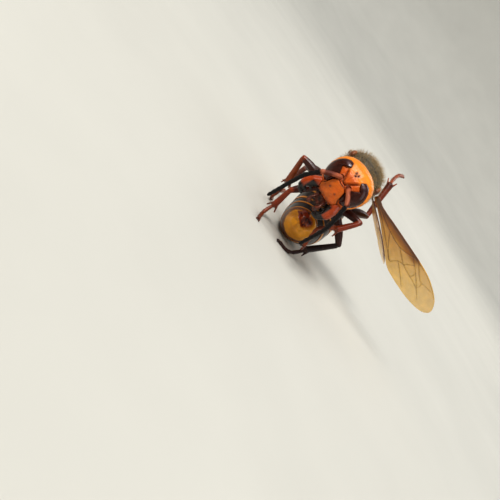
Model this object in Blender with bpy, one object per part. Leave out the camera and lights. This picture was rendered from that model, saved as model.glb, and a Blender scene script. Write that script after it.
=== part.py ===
"""Asian giant hornet, a large worker at life size: head turned a little to its right, left wings spread,
right wings folded back, the gaster curled forward under the thorax with its tip to the front.

The solids are modelled in millimetres with the centre of the head at x = y = 0, then scaled to metres and
centred. x is the hornet's left, y its rear and z up. The floor is at z = 0."""

import math

import bmesh
import bpy
import numpy as np
from mathutils import Matrix, Vector, geometry

MM = 0.001
COLLECTION = "asian_giant_hornet"

# Body plan
GAP = 0.3                       # left between neighbours
HEAD_Z = 19.15                  # centre of the head above the floor
HEAD_HALF_WIDTH = 5.45
HEAD_YAW = math.radians(-7.0)   # the face turns to the hornet's right
FLOOR_SINK = 0.12               # what the floor flattens off a foot or the gaster
FINE_STEP = 0.1                 # between the points of a finely read curve

# Solids and their joining
WELD = 0.0002                   # vertices nearer than this become one
LEAST_KEPT = 0.02               # a cut that leaves less than this share has gone wrong
GROWTH_SEEN = 1.0001            # a joined solid is at least this many times larger
SHARPEST_SHELL = 1.6            # a corner moves out at most this many times farther than a face
TINY = 1e-9
LIMB_END_REACH = 0.55           # a limb's round end, as shares of its radius there
LIMB_END_RADIUS = 0.6

# Head, from the mouth up: height, half width, face, back
HEAD_LEVELS = [
    (-5.0, 2.2, -2.9, -0.8),
    (-4.4, 3.2, -3.35, 0.5),
    (-3.0, 4.3, -3.6, 1.8),
    (-1.5, 5.05, -3.55, 2.6),
    (0.0, HEAD_HALF_WIDTH, -3.45, 3.0),
    (1.5, 5.4, -3.25, 3.15),
    (2.9, 4.8, -2.7, 3.1),
    (3.9, 3.85, -1.9, 2.8),
    (4.5, 2.7, -1.1, 2.3),
    (4.85, 1.3, -0.1, 1.6),
]
HEAD_SIDES = 36
HEAD_SQUARENESS = 2.25          # 2 is an ellipse, more is squarer
HEAD_CAP = 4.3                  # above this height, and below its negative, a raised head form grows in z too
CUT_FRONT = (-8.0, -8.5)        # blocks that cut the face start here, for the part and for its socket
EYE_DEPTH = -0.5                # an eye reaches back to this y
CLYPEUS_DEPTH = -2.4
CLYPEUS_RISE = 0.3
FRONS_PATH = [(0.0, -3.95, 0.75), (0.0, -3.7, 2.0), (0.0, -3.0, 3.4)]
FRONS_HALF = [(0.55, 0.35), (1.3, 0.45), (1.1, 0.25)]
FRONS_SIDES = 10
EYE_RISE = 0.22                 # an eye stands proud of the face by this
EYE_OUTLINE = [
    (2.05, 2.85), (2.45, 3.3), (3.2, 3.25), (4.1, 2.55), (4.75, 1.4), (4.95, 0.2), (4.8, -1.0), (4.35, -1.9),
    (3.6, -2.6), (2.9, -2.85), (2.45, -2.3), (2.3, -1.5), (2.1, -0.6), (2.2, 0.1), (2.8, 0.75), (3.4, 1.5),
    (3.2, 1.95), (2.6, 2.3),
]
CLYPEUS_OUTLINE = [
    (0.0, -0.75), (0.9, -0.65), (1.6, -1.0), (1.9, -1.9), (2.1, -3.0), (2.6, -3.7), (2.2, -4.4),
    (1.2, -4.8), (0.0, -4.4),
]
SCAPE = {
    "left": [(1.3, -3.3, 0.2), (2.75, -4.9, -0.4), (4.35, -5.5, -1.5)],
    "right": [(1.3, -3.3, 0.2), (2.6, -5.0, -0.7), (4.1, -5.7, -2.2)],
}
SCAPE_RADIUS = 0.38
SCAPE_END = 1.1                 # its far end, as a share of its radius
SCAPE_SIDES = 8
SCAPE_STEP = 0.9
FLAGELLUM = {
    "left": [(4.45, -5.7, -1.9), (5.4, -5.9, -4.6), (6.1, -5.8, -7.6), (6.0, -5.4, -10.2),
             (5.7, -5.0, -14.0)],
    "right": [(4.25, -5.9, -2.6), (5.4, -6.0, -5.4), (5.7, -5.8, -7.8), (6.0, -5.4, -10.6),
              (6.3, -5.0, -14.4)],
}
FLAGELLUM_RADIUS = 0.42
FLAGELLUM_RINGS = 10
FLAGELLUM_TAPER = 0.25
FLAGELLUM_NECK = 0.86           # between two rings it is this much thinner
FLAGELLUM_TIP = 0.16
FLAGELLUM_SIDES = 7
MANDIBLE = {
    "left": [(2.8, -2.3, -4.0), (3.3, -2.8, -5.3), (3.5, -3.1, -6.7), (3.0, -3.1, -8.0), (2.5, -3.0, -8.7)],
    "right": [(2.9, -2.3, -4.0), (4.0, -2.8, -5.2), (4.7, -3.1, -6.5), (4.6, -3.1, -7.7), (4.1, -3.0, -8.4)],
}
MANDIBLE_HALF = [(1.15, 1.0), (1.15, 0.95), (0.95, 0.75), (0.6, 0.5), (0.2, 0.2)]
MANDIBLE_SIDES = 12
TOOTH_LENGTH = 0.8
TEETH = ((1, 0.7), (2, 0.9), (3, 1.0))   # place along the jaw and size
TOOTH_HALF = [(0.55, 0.45), (0.4, 0.35), (0.12, 0.12)]
TOOTH_DROP = -0.5
TOOTH_BEND = 0.65               # how far along a tooth its middle ring stands
TOOTH_SIDES = 8
MOUTH_PATH = [(-0.12, -1.3, -4.85), (-0.1, -1.75, -5.6), (0.1, -2.0, -6.6), (0.2, -2.0, -7.2)]
MOUTH_HALF = [(1.5, 1.0), (1.4, 1.0), (1.0, 0.7), (0.4, 0.3)]
MOUTH_SIDES = 14
PALP_PATH = [(0.72, -2.2, -5.4), (1.35, -3.2, -6.6), (1.17, -3.3, -7.9)]
PALP_PROFILE = [(0, 0.28), (1, 0.2)]
PALP_SIDES = 6
PALP_STEP = 0.9

# Thorax, from the neck back: place, half width, underside, top
THORAX_LEVELS = [
    (4.6, 2.5, -2.0, 2.9),
    (5.6, 4.0, -2.9, 4.7),
    (7.2, 4.85, -3.4, 6.0),
    (9.4, 5.1, -3.7, 6.5),
    (11.4, 4.95, -3.8, 6.2),
    (13.2, 4.4, -3.7, 5.1),
    (14.8, 3.6, -3.5, 3.2),
    (16.0, 2.4, -3.1, 0.6),
    (16.4, 1.5, -2.7, -0.4),
]
THORAX_SIDES = 32
THORAX_SQUARENESS = 2.15
NECK_PATH = [(0, 2.2, -0.2), (0, 3.5, 0.0), (0, 5.4, 0.2)]
NECK_HALF = [(1.4, 1.4), (1.5, 1.5), (1.9, 1.9)]
NECK_SIDES = 16
PRONOTUM_START = 4.6
PRONOTUM_BOW = 0.2
PRONOTUM_END = 6.6
SCUTUM_END = 11.6
SCUTELLUM_END = 13.4
PROPODEUM_END = 16.3
COLLAR_BOW = 1.6                # the pronotum's rear edge runs back at the sides
TEGULA_HALF = (0.7, 1.6, 1.15)
TEGULA_PLACE = (4.75, 9.2, 3.3)
TEGULA_SLICES = (-0.97, -0.75, -0.35, 0.1, 0.5, 0.82, 0.97)
TEGULA_SIDES = 12

# Gaster: it leaves the thorax steeply, turns forward under it and lifts its tip
PETIOLE_START = (0.0, 16.5, -1.7)
PETIOLE_RADIUS = 0.8
PETIOLE_RINGS = [(-0.9, 1.0), (0.0, PETIOLE_RADIUS), (0.5, PETIOLE_RADIUS), (1.6, 1.1)]
PETIOLE_SIDES = 14
CURL_START = math.radians(60)
CURL_RADIUS = 8.8
CURL_LENGTH = CURL_RADIUS * (math.pi - CURL_START)
TIP_LIFT = math.radians(22)
TIP_ROLL = math.radians(32)
GASTER_ENDS = [0.9, 4.0, 8.3, 12.3, 16.0, 19.4, 22.6]
GASTER_RADII = [(1.3, 4.9), (4.85, 5.6), (5.6, 5.65), (5.6, 5.25), (5.15, 4.2), (4.05, 1.8)]
FIRST_SEGMENT = [(0.0, 1.3), (0.14, 2.3), (0.36, 3.5), (0.62, 4.4), (0.9, 4.85), (1.0, 4.75)]
LAST_SEGMENT = [(0.0, 3.9), (0.2, 4.0), (0.5, 3.55), (0.78, 2.8), (0.94, 2.1), (1.0, 1.7)]
SEGMENT_SHARES = (0.0, 0.12, 0.5, 0.93, 1.0)
SEGMENT_SWELL = (0.965, 0.99, 1.015, 1.0, 0.975)
GASTER_FLATNESS = 0.93          # height over width
GASTER_SQUARENESS = 2.1
GASTER_SIDES = 26
GASTER_STEPS = 200              # steps in which the curve's middle line is added up
CHAMBER_BACK = 0.9              # the sting chamber lies this far in front of the very tip
CHAMBER_LOW = 1.7               # and this far to the gaster's underside, which faces up
CHAMBER_LEFT = 1.4
CHAMBER_HALF = (1.4, 1.5, 1.05)
CHAMBER_SLICES = ((-1.0, 0.45), (-0.7, 0.8), (0.0, 1.0), (0.45, 0.9), (0.8, 0.55))
CHAMBER_SIDES = 14
SIDE_SHIFT = [(0.0, 0.0), (4.0, 0.3), (9.0, 1.3), (14.0, 2.1), (18.5, 1.9), (22.6, 1.4)]

# Legs: root on the thorax, end of the coxa, knee, ankle, then the tarsus. FLOOR is the height of the floor.
FLOOR = None
LEGS = {
    "fore_left": [(1.6, 5.8, -2.4), (2.6, 4.8, -5.4), (8.6, 3.0, -2.5), (6.8, -0.2, -6.9),
                  (4.6, -2.0, -9.6), (5.2, -2.4, -11.9), (6.1, -2.6, -14.1)],
    "mid_left": [(2.5, 8.6, -3.2), (3.6, 8.1, -6.2), (10.4, 7.0, -9.7), (7.3, 4.2, -15.6),
                 (6.3, 3.0, -18.1), (4.8, 1.4, FLOOR), (2.8, 0.6, FLOOR)],
    "hind_left": [(2.5, 11.4, -3.2), (4.8, 12.0, -5.2), (8.8, 19.2, -2.6), (5.6, 23.4, 5.4),
                  (5.0, 26.8, 6.6), (5.0, 30.0, 7.9), (5.7, 32.6, 8.4)],
    "fore_right": [(-1.6, 5.8, -2.4), (-2.4, 4.8, -5.4), (-5.4, 1.4, -11.0), (-4.7, 2.4, -15.8),
                   (-4.7, 1.0, -17.9), (-4.3, -1.0, FLOOR), (-3.9, -3.4, FLOOR)],
    "mid_right": [(-2.5, 8.6, -3.2), (-3.5, 8.1, -5.8), (-10.1, 8.0, -5.9), (-7.8, 11.0, -12.2),
                  (-7.2, 13.0, -15.6), (-7.1, 14.4, -18.0), (-6.9, 16.6, FLOOR)],
    "hind_right": [(-2.5, 11.4, -3.2), (-4.8, 12.2, -5.2), (-8.6, 19.0, -8.2), (-8.4, 24.5, -15.0),
                   (-8.2, 26.4, -17.8), (-8.0, 28.6, FLOOR), (-7.6, 33.4, FLOOR)],
}
LEG_THICKNESS = {"fore": 0.95, "mid": 1.0, "hind": 1.08}
COXA_PROFILE = [(0, 1.15), (0.6, 1.15), (1, 0.8)]
FEMUR_PROFILE = [(0, 0.5), (0.3, 0.84), (0.7, 0.84), (1, 0.55)]
TIBIA_PROFILE = [(0, 0.5), (0.5, 0.6), (1, 0.72)]
FEMUR_ARCH = (0.0, 0.0, 0.35)
LEG_SIDES = 10
THIGH_STEP = 1.1
SHIN_STEP = 1.4
SPUR_SPREAD = 0.62
SPUR_FLARE = 1.9
SPUR_LENGTH = 1.2
SPUR_HALF = [(0.2, 0.2), (0.06, 0.06)]
SPUR_SIDES = 5
TARSUS_RADIUS = 0.36
TARSUS_ENDS = [0.0, 0.44, 0.6, 0.73, 0.83, 1.0]
TARSUS_BULGE = ((0.06, 0.78), (0.55, 0.95), (0.94, 1.08))
TARSUS_SIDES = 6
CLAW_LENGTH = 0.9
CLAW_BEND = (0.55, 0.3)         # along the foot and across it
CLAW_TIP = (0.35, 0.1)
CLAW_DROP = (0.0, 0.0, -0.15)
CLAW_RADII = (0.2, 0.17)
CLAW_POINT = 0.05

# Wings, in their own plane: along the span, then from the leading edge back
WING_HALF_THICKNESS = 0.25
VEIN_HALF_WIDTH = 0.28
VEIN_RISE = 0.16
VEIN_STEP = 2.2
RIM_POINTS = 44
RIM_WELD = 0.03
FOREWING_OUTLINE = [
    (0.0, -0.3), (3.0, 0.1), (7.9, -0.5), (13.3, -1.2), (18.4, -1.9), (22.7, -2.25), (26.4, -1.9),
    (29.4, -1.1), (31.7, 0.3), (32.7, 1.9), (31.9, 3.5), (29.6, 4.9), (26.4, 5.9), (22.3, 6.5),
    (18.6, 6.6), (13.1, 4.9), (7.5, 3.0), (3.0, 1.6), (0.0, 0.9),
]
FOREWING_VEINS = [
    [(0.7, 0.1), (8.0, 0.05), (17.0, -1.2), (18.6, -1.45)],
    [(0.7, 0.4), (9.2, 1.4), (13.7, 1.0), (16.4, -0.7)],
    [(13.7, 1.0), (18.6, 2.2), (25.3, 2.0), (28.6, 3.2)],
    [(9.2, 1.4), (16.9, 5.2), (17.3, 3.1), (18.6, 2.2)],
    [(17.3, 3.1), (24.4, 5.4)],
    [(17.2, -0.7), (21.4, 0.4), (25.1, 1.7)],
    [(19.0, -1.4), (23.8, 0.2), (25.3, -0.4), (27.6, -1.2)],
    [(3.0, 0.9), (9.5, 2.9), (16.9, 5.2)],
]
HINDWING_OUTLINE = [
    (0.0, -0.4), (4.0, -0.6), (9.0, -0.9), (14.0, -1.3), (18.5, -1.2), (20.8, -0.1), (20.4, 1.2),
    (17.5, 2.6), (13.0, 3.7), (8.0, 3.9), (4.2, 2.6), (1.2, 1.2), (0.0, 0.7),
]
HINDWING_VEINS = [
    [(0.7, -0.1), (9.0, -0.35), (13.5, -0.7)],
    [(0.7, 0.2), (7.5, 1.0), (10.2, 2.0), (9.8, -0.3)],
    [(10.2, 2.0), (15.2, 2.4)],
]
WINGS = {
    "forewing_left": dict(root=(6.0, 8.7, 3.0), span=(0.93, 0.34, -0.13),
                          chord=(0.0, 0.5, -0.86), belly=0.5),
    "hindwing_left": dict(root=(5.5, 11.2, 1.7), span=(0.74, 0.57, -0.36),
                          chord=(-0.25, 0.95, -0.2), belly=0.3),
    "forewing_right": dict(root=(-5.7, 9.6, 3.0), span=(0.0, 0.99, -0.08),
                           chord=(0.86, 0.0, -0.5), belly=0.3),
    "hindwing_right": dict(root=(-5.3, 11.6, 1.3), span=(-0.03, 0.98, -0.14),
                           chord=(0.5, 0.0, -0.86), belly=0.2),
}
FOLDED_CHORD = 0.5              # a folded wing shows this share of its width
FOLDED_VEINS = 2                # and this many of its veins

COLOURS = {
    "orange": ((0.72, 0.22, 0.02), 0.4), "eye": ((0.03, 0.012, 0.008), 0.15),
    "antenna": ((0.35, 0.12, 0.07), 0.45), "black": ((0.015, 0.012, 0.012), 0.4),
    "thorax": ((0.09, 0.07, 0.04), 0.7), "brown": ((0.16, 0.06, 0.03), 0.4),
    "leg": ((0.12, 0.03, 0.015), 0.35), "wing": ((0.5, 0.28, 0.06), 0.3),
    "gaster": ((0.6, 0.26, 0.02), 0.35), "sting": ((0.25, 0.05, 0.02), 0.5),
}


def clear_scene():
    for obj in list(bpy.data.objects):
        bpy.data.objects.remove(obj)
    parts = bpy.data.collections.new(COLLECTION)
    bpy.context.scene.collection.children.link(parts)
    return parts


def material(name):
    found = bpy.data.materials.get(name)
    if found:
        return found
    colour, roughness = COLOURS[name]
    found = bpy.data.materials.new(name)
    found.use_nodes = True
    shader = found.node_tree.nodes["Principled BSDF"]
    shader.inputs["Base Color"].default_value = (*colour, 1.0)
    shader.inputs["Roughness"].default_value = roughness
    shader.inputs["Metallic"].default_value = 0.0
    found.diffuse_color = (*colour, 1.0)
    return found


def add_object(name, mesh, finish):
    own = material(finish).copy()
    own.name = name
    mesh.materials.clear()
    mesh.materials.append(own)
    obj = bpy.data.objects.new(name, mesh)
    bpy.data.collections[COLLECTION].objects.link(obj)
    return obj


def mesh_from(points, faces):
    mesh = bpy.data.meshes.new("solid")
    mesh.from_pydata([tuple(p) for p in points], [], faces)
    work = bmesh.new()
    work.from_mesh(mesh)
    bmesh.ops.recalc_face_normals(work, faces=work.faces)
    bmesh.ops.triangulate(work, faces=[f for f in work.faces if len(f.verts) > 4])
    work.to_mesh(mesh)
    work.free()
    mesh.shade_smooth()
    return mesh


def largest_body(mesh):
    """Keeps the largest closed surface of a mesh."""
    work = bmesh.new()
    work.from_mesh(mesh)
    bmesh.ops.remove_doubles(work, verts=work.verts, dist=WELD)
    bmesh.ops.dissolve_degenerate(work, dist=WELD, edges=work.edges)
    left = set(work.verts)
    bodies = []
    while left:
        group = [left.pop()]
        for vert in group:
            for edge in vert.link_edges:
                other = edge.other_vert(vert)
                if other in left:
                    left.remove(other)
                    group.append(other)
        bodies.append(group)
    bodies.sort(key=lambda group: Vector([max(v.co[i] for v in group) - min(v.co[i] for v in group)
                                          for i in range(3)]).length)
    for group in bodies[:-1]:
        bmesh.ops.delete(work, geom=group, context="VERTS")
    bmesh.ops.triangulate(work, faces=[f for f in work.faces if len(f.verts) > 4])
    work.to_mesh(mesh)
    work.free()
    mesh.shade_smooth()


def volume(mesh):
    """The volume of a closed mesh, or 0 where it is open or empty."""
    work = bmesh.new()
    work.from_mesh(mesh)
    closed = bool(work.faces) and all(edge.is_manifold for edge in work.edges)
    size = work.calc_volume(signed=True) if closed else 0.0
    work.free()
    return size


def combine(obj, tool, operation):
    """Joins a solid with a tool, cuts it by the tool, or keeps what both share. The tool stays."""
    before = volume(obj.data)
    for solver in ("EXACT", "MANIFOLD"):
        step = obj.modifiers.new("combine", "BOOLEAN")
        step.operation = operation
        step.solver = solver
        step.object = tool
        bpy.context.view_layer.update()
        graph = bpy.context.evaluated_depsgraph_get()
        result = bpy.data.meshes.new_from_object(obj.evaluated_get(graph))
        obj.modifiers.clear()
        largest_body(result)
        after = volume(result)
        grown = after > before * GROWTH_SEEN
        if after > max(before * LEAST_KEPT, 0.0) and (operation == "UNION" or not grown):
            break
    else:
        print("combine failed", obj.name, operation, before, after)
    obj.data = result


def scratch(mesh):
    obj = bpy.data.objects.new("tool", mesh)
    obj.hide_render = True
    obj.display_type = "WIRE"
    bpy.context.scene.collection.objects.link(obj)
    return obj


def inflated(obj, distance):
    """A copy of a solid whose surface stands off by a distance."""
    mesh = obj.data.copy()
    work = bmesh.new()
    work.from_mesh(mesh)
    work.normal_update()
    moves = [vert.normal * distance * min(vert.calc_shell_factor(), SHARPEST_SHELL) for vert in work.verts]
    for vert, move in zip(work.verts, moves):
        vert.co += move
    work.to_mesh(mesh)
    work.free()
    return scratch(mesh)


def fit_to(child, parent):
    """Cuts a solid back so that it meets its neighbour face to face, with the usual gap."""
    tool = inflated(parent, GAP)
    combine(child, tool, "DIFFERENCE")
    bpy.data.objects.remove(tool)


def keep_with(obj, tool, operation):
    combine(obj, tool, operation)
    bpy.data.objects.remove(tool)


def smooth_values(keys, at):
    """Reads a smooth curve through keys of (place, value, ...) at one place."""
    places = [key[0] for key in keys]
    at = min(max(at, places[0]), places[-1])
    i = min(max(np.searchsorted(places, at, "right") - 1, 0), len(keys) - 2)
    rows = [np.array(keys[min(max(j, 0), len(keys) - 1)][1:], float) for j in range(i - 1, i + 3)]
    spots = [places[min(max(j, 0), len(keys) - 1)] for j in range(i - 1, i + 3)]
    width = spots[2] - spots[1]
    slope_a = (rows[2] - rows[0]) / max(spots[2] - spots[0], TINY) * width
    slope_b = (rows[3] - rows[1]) / max(spots[3] - spots[1], TINY) * width
    t = (at - spots[1]) / width
    return ((2 * t**3 - 3 * t**2 + 1) * rows[1] + (t**3 - 2 * t**2 + t) * slope_a
            + (3 * t**2 - 2 * t**3) * rows[2] + (t**3 - t**2) * slope_b)


def smooth_path(points, step):
    """Points along a smooth curve through the given ones."""
    points = [np.array(p, float) for p in points]
    along = [0.0]
    for a, b in zip(points, points[1:]):
        along.append(along[-1] + np.linalg.norm(b - a))
    keys = [(s, *p) for s, p in zip(along, points)]
    count = max(int(round(along[-1] / step)), 1)
    return [smooth_values(keys, along[-1] * i / count) for i in range(count + 1)]


def loft(rings):
    """A closed skin over rings of points, with a fan over each end."""
    sides = len(rings[0])
    points = [p for ring in rings for p in ring]
    faces = []
    for r in range(len(rings) - 1):
        for i in range(sides):
            j = (i + 1) % sides
            faces.append((r * sides + i, r * sides + j, (r + 1) * sides + j, (r + 1) * sides + i))
    for start, ring in ((0, rings[0]), ((len(rings) - 1) * sides, rings[-1])):
        middle = len(points)
        points.append(np.mean(ring, axis=0))
        for i in range(sides):
            faces.append((start + i, start + (i + 1) % sides, middle))
    return mesh_from(points, faces)


def oval(centre, across, up, half_across, half_up, sides, power=2.0):
    ring = []
    for i in range(sides):
        angle = 2 * math.pi * i / sides
        c = math.cos(angle)
        s = math.sin(angle)
        out = half_across * math.copysign(abs(c) ** (2 / power), c)
        rise = half_up * math.copysign(abs(s) ** (2 / power), s)
        ring.append(np.array(centre) + np.array(across) * out + np.array(up) * rise)
    return ring


def tube(points, halves, sides):
    """A tube of oval section along a path. halves gives (across, up) at each point."""
    points = [np.array(p, float) for p in points]
    across = None
    rings = []
    for i, point in enumerate(points):
        along = points[min(i + 1, len(points) - 1)] - points[max(i - 1, 0)]
        along /= np.linalg.norm(along)
        if across is None:
            across = np.cross(along, (0.0, 1.0, 0.0))
        across = across - along * (across @ along)
        across /= np.linalg.norm(across)
        rings.append(oval(point, across, np.cross(along, across), *halves[i], sides))
    return loft(rings)


def limb(points, profile, sides, step):
    """A limb with round ends: profile gives (share of the length, radius)."""
    path = smooth_path(points, step)
    first, last = profile[0][1], profile[-1][1]
    path = [path[0]] + path + [path[-1]]
    count = len(path) - 3
    halves = []
    for i in range(len(path)):
        share = min(max((i - 1) / count, 0.0), 1.0)
        halves.append(smooth_values(profile, share)[0])
    start = (path[1] - path[2]) / np.linalg.norm(path[1] - path[2])
    end = (path[-2] - path[-3]) / np.linalg.norm(path[-2] - path[-3])
    path[0] = path[1] + start * first * LIMB_END_REACH
    path[-1] = path[-2] + end * last * LIMB_END_REACH
    halves[0] = first * LIMB_END_RADIUS
    halves[-1] = last * LIMB_END_RADIUS
    return tube(path, [(h, h) for h in halves], sides)


def prism(outline, near, far, grow=0.0):
    """A block whose outline, seen from the front, is the given one."""
    count = len(outline)
    if grow:
        grown = []
        for i in range(count):
            a, b, c = (Vector(outline[(i + k) % count]) for k in (-1, 0, 1))
            out = Vector(((c - a).y, -(c - a).x)).normalized()
            grown.append(tuple(b + out * grow))
        area = sum(outline[i][0] * outline[(i + 1) % count][1] - outline[(i + 1) % count][0] * outline[i][1]
                   for i in range(count))
        if area < 0:
            return prism(outline[::-1], near, far, grow)
        outline = grown
    points = [(x, y, z) for y in (near, far) for x, z in outline]
    faces = [tuple(range(count)), tuple(range(2 * count - 1, count - 1, -1))]
    faces += [(i, (i + 1) % count, count + (i + 1) % count, count + i) for i in range(count)]
    return scratch(mesh_from(points, faces))


def closed_curve(outline, count):
    """Points spread evenly round a smooth closed curve through the given ones."""
    ring = [np.array(p, float) for p in outline[-3:] + outline + outline[:3]]
    along = [0.0]
    for a, b in zip(ring, ring[1:]):
        along.append(along[-1] + np.linalg.norm(b - a))
    keys = [(s, *p) for s, p in zip(along, ring)]
    start = along[3]
    end = along[3 + len(outline)]
    return [tuple(smooth_values(keys, start + (end - start) * i / count)) for i in range(count)]


def mirrored(points, side):
    flip = -1.0 if side == "right" else 1.0
    return [(flip * p[0], *p[1:]) for p in points]


def head_form(rise):
    """The head's outer shape, stood off by rise."""
    rings = []
    for z, half, front, back in HEAD_LEVELS:
        lift = math.copysign(rise, z) if abs(z) > HEAD_CAP else 0.0
        middle = (0.0, (front + back) / 2, z + lift)
        depth = (back - front) / 2 + rise
        rings.append(oval(middle, (1, 0, 0), (0, 1, 0), half + rise, depth, HEAD_SIDES, HEAD_SQUARENESS))
    return loft(rings)


def let_in(name, head, outline, rise, depth, finish):
    """A part of the face with its socket: both follow one outline, with the usual gap between them."""
    near, near_socket = CUT_FRONT
    made = add_object(name, head_form(rise), finish)
    keep_with(made, prism(outline, near, depth), "INTERSECT")
    keep_with(head, prism(outline, near_socket, depth + GAP, GAP), "DIFFERENCE")
    return made


def build_head():
    """The head capsule, with its eyes and clypeus let into it."""
    head = add_object("head", head_form(0.0), "orange")
    for side in ("left", "right"):
        let_in(f"eye_{side}", head, mirrored(EYE_OUTLINE, side), EYE_RISE, EYE_DEPTH, "eye")
    outline = CLYPEUS_OUTLINE + [(-x, z) for x, z in reversed(CLYPEUS_OUTLINE[1:-1])]
    clypeus = let_in("clypeus", head, outline, CLYPEUS_RISE, CLYPEUS_DEPTH, "orange")
    keep_with(head, scratch(tube(FRONS_PATH, FRONS_HALF, FRONS_SIDES)), "UNION")
    return head, clypeus


def tooth_form(path, place, size, inward):
    """A tooth on the inner edge of a jaw, which lies to the inward side."""
    after = min(place + 1, len(path) - 1)
    root = (np.array(path[place]) + np.array(path[after])) / 2
    width = (MANDIBLE_HALF[place][0] + MANDIBLE_HALF[after][0]) / 2
    tip = root + np.array((inward * (width + TOOTH_LENGTH * size), 0.0, TOOTH_DROP))
    middle = root * (1 - TOOTH_BEND) + tip * TOOTH_BEND
    point = TOOTH_HALF[-1]
    halves = [(a * size, b * size) for a, b in TOOTH_HALF[:-1]] + [point]
    return tube([root, middle, tip], halves, TOOTH_SIDES)


def build_mandibles(head, clypeus):
    for side, inward in (("left", -1.0), ("right", 1.0)):
        path = mirrored(MANDIBLE[side], side)
        mandible = add_object(f"mandible_{side}", tube(path, MANDIBLE_HALF, MANDIBLE_SIDES), "black")
        for place, size in TEETH:
            keep_with(mandible, scratch(tooth_form(path, place, size, inward)), "UNION")
        fit_to(mandible, head)
        fit_to(mandible, clypeus)


def build_mouthparts(clypeus):
    mouth = add_object("mouthparts", tube(MOUTH_PATH, MOUTH_HALF, MOUTH_SIDES), "brown")
    for side in ("right", "left"):
        palp = limb(mirrored(PALP_PATH, side), PALP_PROFILE, PALP_SIDES, PALP_STEP)
        keep_with(mouth, scratch(palp), "UNION")
    uncut_head = scratch(head_form(0.0))
    fit_to(mouth, uncut_head)
    bpy.data.objects.remove(uncut_head)
    fit_to(mouth, clypeus)
    for side in ("left", "right"):
        fit_to(mouth, bpy.data.objects[f"mandible_{side}"])


def flagellum_form(side):
    """The long whip of a feeler: rings with a narrower neck between each two."""
    path = smooth_path(mirrored(FLAGELLUM[side], side), FINE_STEP)
    count = FLAGELLUM_RINGS * 2
    spots = [path[round((len(path) - 1) * i / count)] for i in range(count + 1)]
    halves = []
    for i in range(count + 1):
        neck = FLAGELLUM_NECK if i % 2 == 0 else 1.0
        radius = FLAGELLUM_RADIUS * (1.0 - FLAGELLUM_TAPER * (i / count) ** 2) * neck
        halves.append((radius, radius))
    halves[-1] = (FLAGELLUM_TIP, FLAGELLUM_TIP)
    return tube(spots, halves, FLAGELLUM_SIDES)


def build_antennae(head, clypeus):
    profile = [(0, SCAPE_RADIUS), (0.5, SCAPE_RADIUS), (1, SCAPE_RADIUS * SCAPE_END)]
    for side in ("left", "right"):
        form = limb(mirrored(SCAPE[side], side), profile, SCAPE_SIDES, SCAPE_STEP)
        scape = add_object(f"scape_{side}", form, "antenna")
        fit_to(scape, head)
        fit_to(scape, clypeus)
        flagellum = add_object(f"flagellum_{side}", flagellum_form(side), "black")
        fit_to(flagellum, scape)


def turn_head():
    """Turns the head with all it carries about the neck."""
    turn = Matrix.Rotation(HEAD_YAW, 4, "Z")
    for obj in bpy.data.collections[COLLECTION].objects:
        obj.data.transform(turn)


def thorax_ring(y, bow):
    half, low, high = smooth_values(THORAX_LEVELS, y)
    middle = (0, y, (low + high) / 2)
    ring = oval(middle, (1, 0, 0), (0, 0, 1), half, (high - low) / 2, THORAX_SIDES, THORAX_SQUARENESS)
    return [p + np.array((0.0, bow * (p[0] / half) ** 2, 0.0)) for p in ring]


def thorax_piece(name, start, end, bow_start, bow_end, count):
    rings = []
    for i in range(count + 1):
        share = i / count
        rings.append(thorax_ring(start + (end - start) * share, bow_start + (bow_end - bow_start) * share))
    return add_object(name, loft(rings), "thorax")


def build_thorax():
    half = GAP / 2
    neck = add_object("neck", tube(NECK_PATH, NECK_HALF, NECK_SIDES), "thorax")
    pronotum = thorax_piece("pronotum", PRONOTUM_START, PRONOTUM_END - half, PRONOTUM_BOW, COLLAR_BOW, 4)
    scutum = thorax_piece("scutum", PRONOTUM_END + half, SCUTUM_END - half, COLLAR_BOW, 0.0, 5)
    scutellum = thorax_piece("scutellum", SCUTUM_END + half, SCUTELLUM_END - half, 0.0, 0.0, 2)
    propodeum = thorax_piece("propodeum", SCUTELLUM_END + half, PROPODEUM_END, 0.0, 0.0, 4)
    fit_to(neck, bpy.data.objects["head"])
    fit_to(neck, pronotum)
    return pronotum, scutum, scutellum, propodeum


def build_tegulae(pronotum, scutum):
    for side in ("left", "right"):
        x, y, z = mirrored([TEGULA_PLACE], side)[0]
        a, b, c = TEGULA_HALF
        rings = []
        for t in TEGULA_SLICES:
            size = math.sqrt(1 - t * t)
            rings.append(oval((x, y + b * t, z), (1, 0, 0), (0, 0, 1), a * size, c * size, TEGULA_SIDES))
        tegula = add_object(f"tegula_{side}", loft(rings), "brown")
        fit_to(tegula, scutum)
        fit_to(tegula, pronotum)


def heading(at):
    """The angle by which the gaster's middle line has turned down and forward."""
    if at <= CURL_LENGTH:
        return CURL_START + (math.pi - CURL_START) * max(at, 0.0) / CURL_LENGTH
    return math.pi + TIP_LIFT * (at - CURL_LENGTH) / (GASTER_ENDS[-1] - CURL_LENGTH)


def gaster_middle(s):
    centre = np.array(PETIOLE_START, float)
    for i in range(GASTER_STEPS):
        angle = heading(s * (i + 0.5) / GASTER_STEPS)
        centre += np.array((0.0, math.cos(angle), -math.sin(angle))) * s / GASTER_STEPS
    centre[0] += smooth_values(SIDE_SHIFT, s)[0]
    return centre


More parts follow.
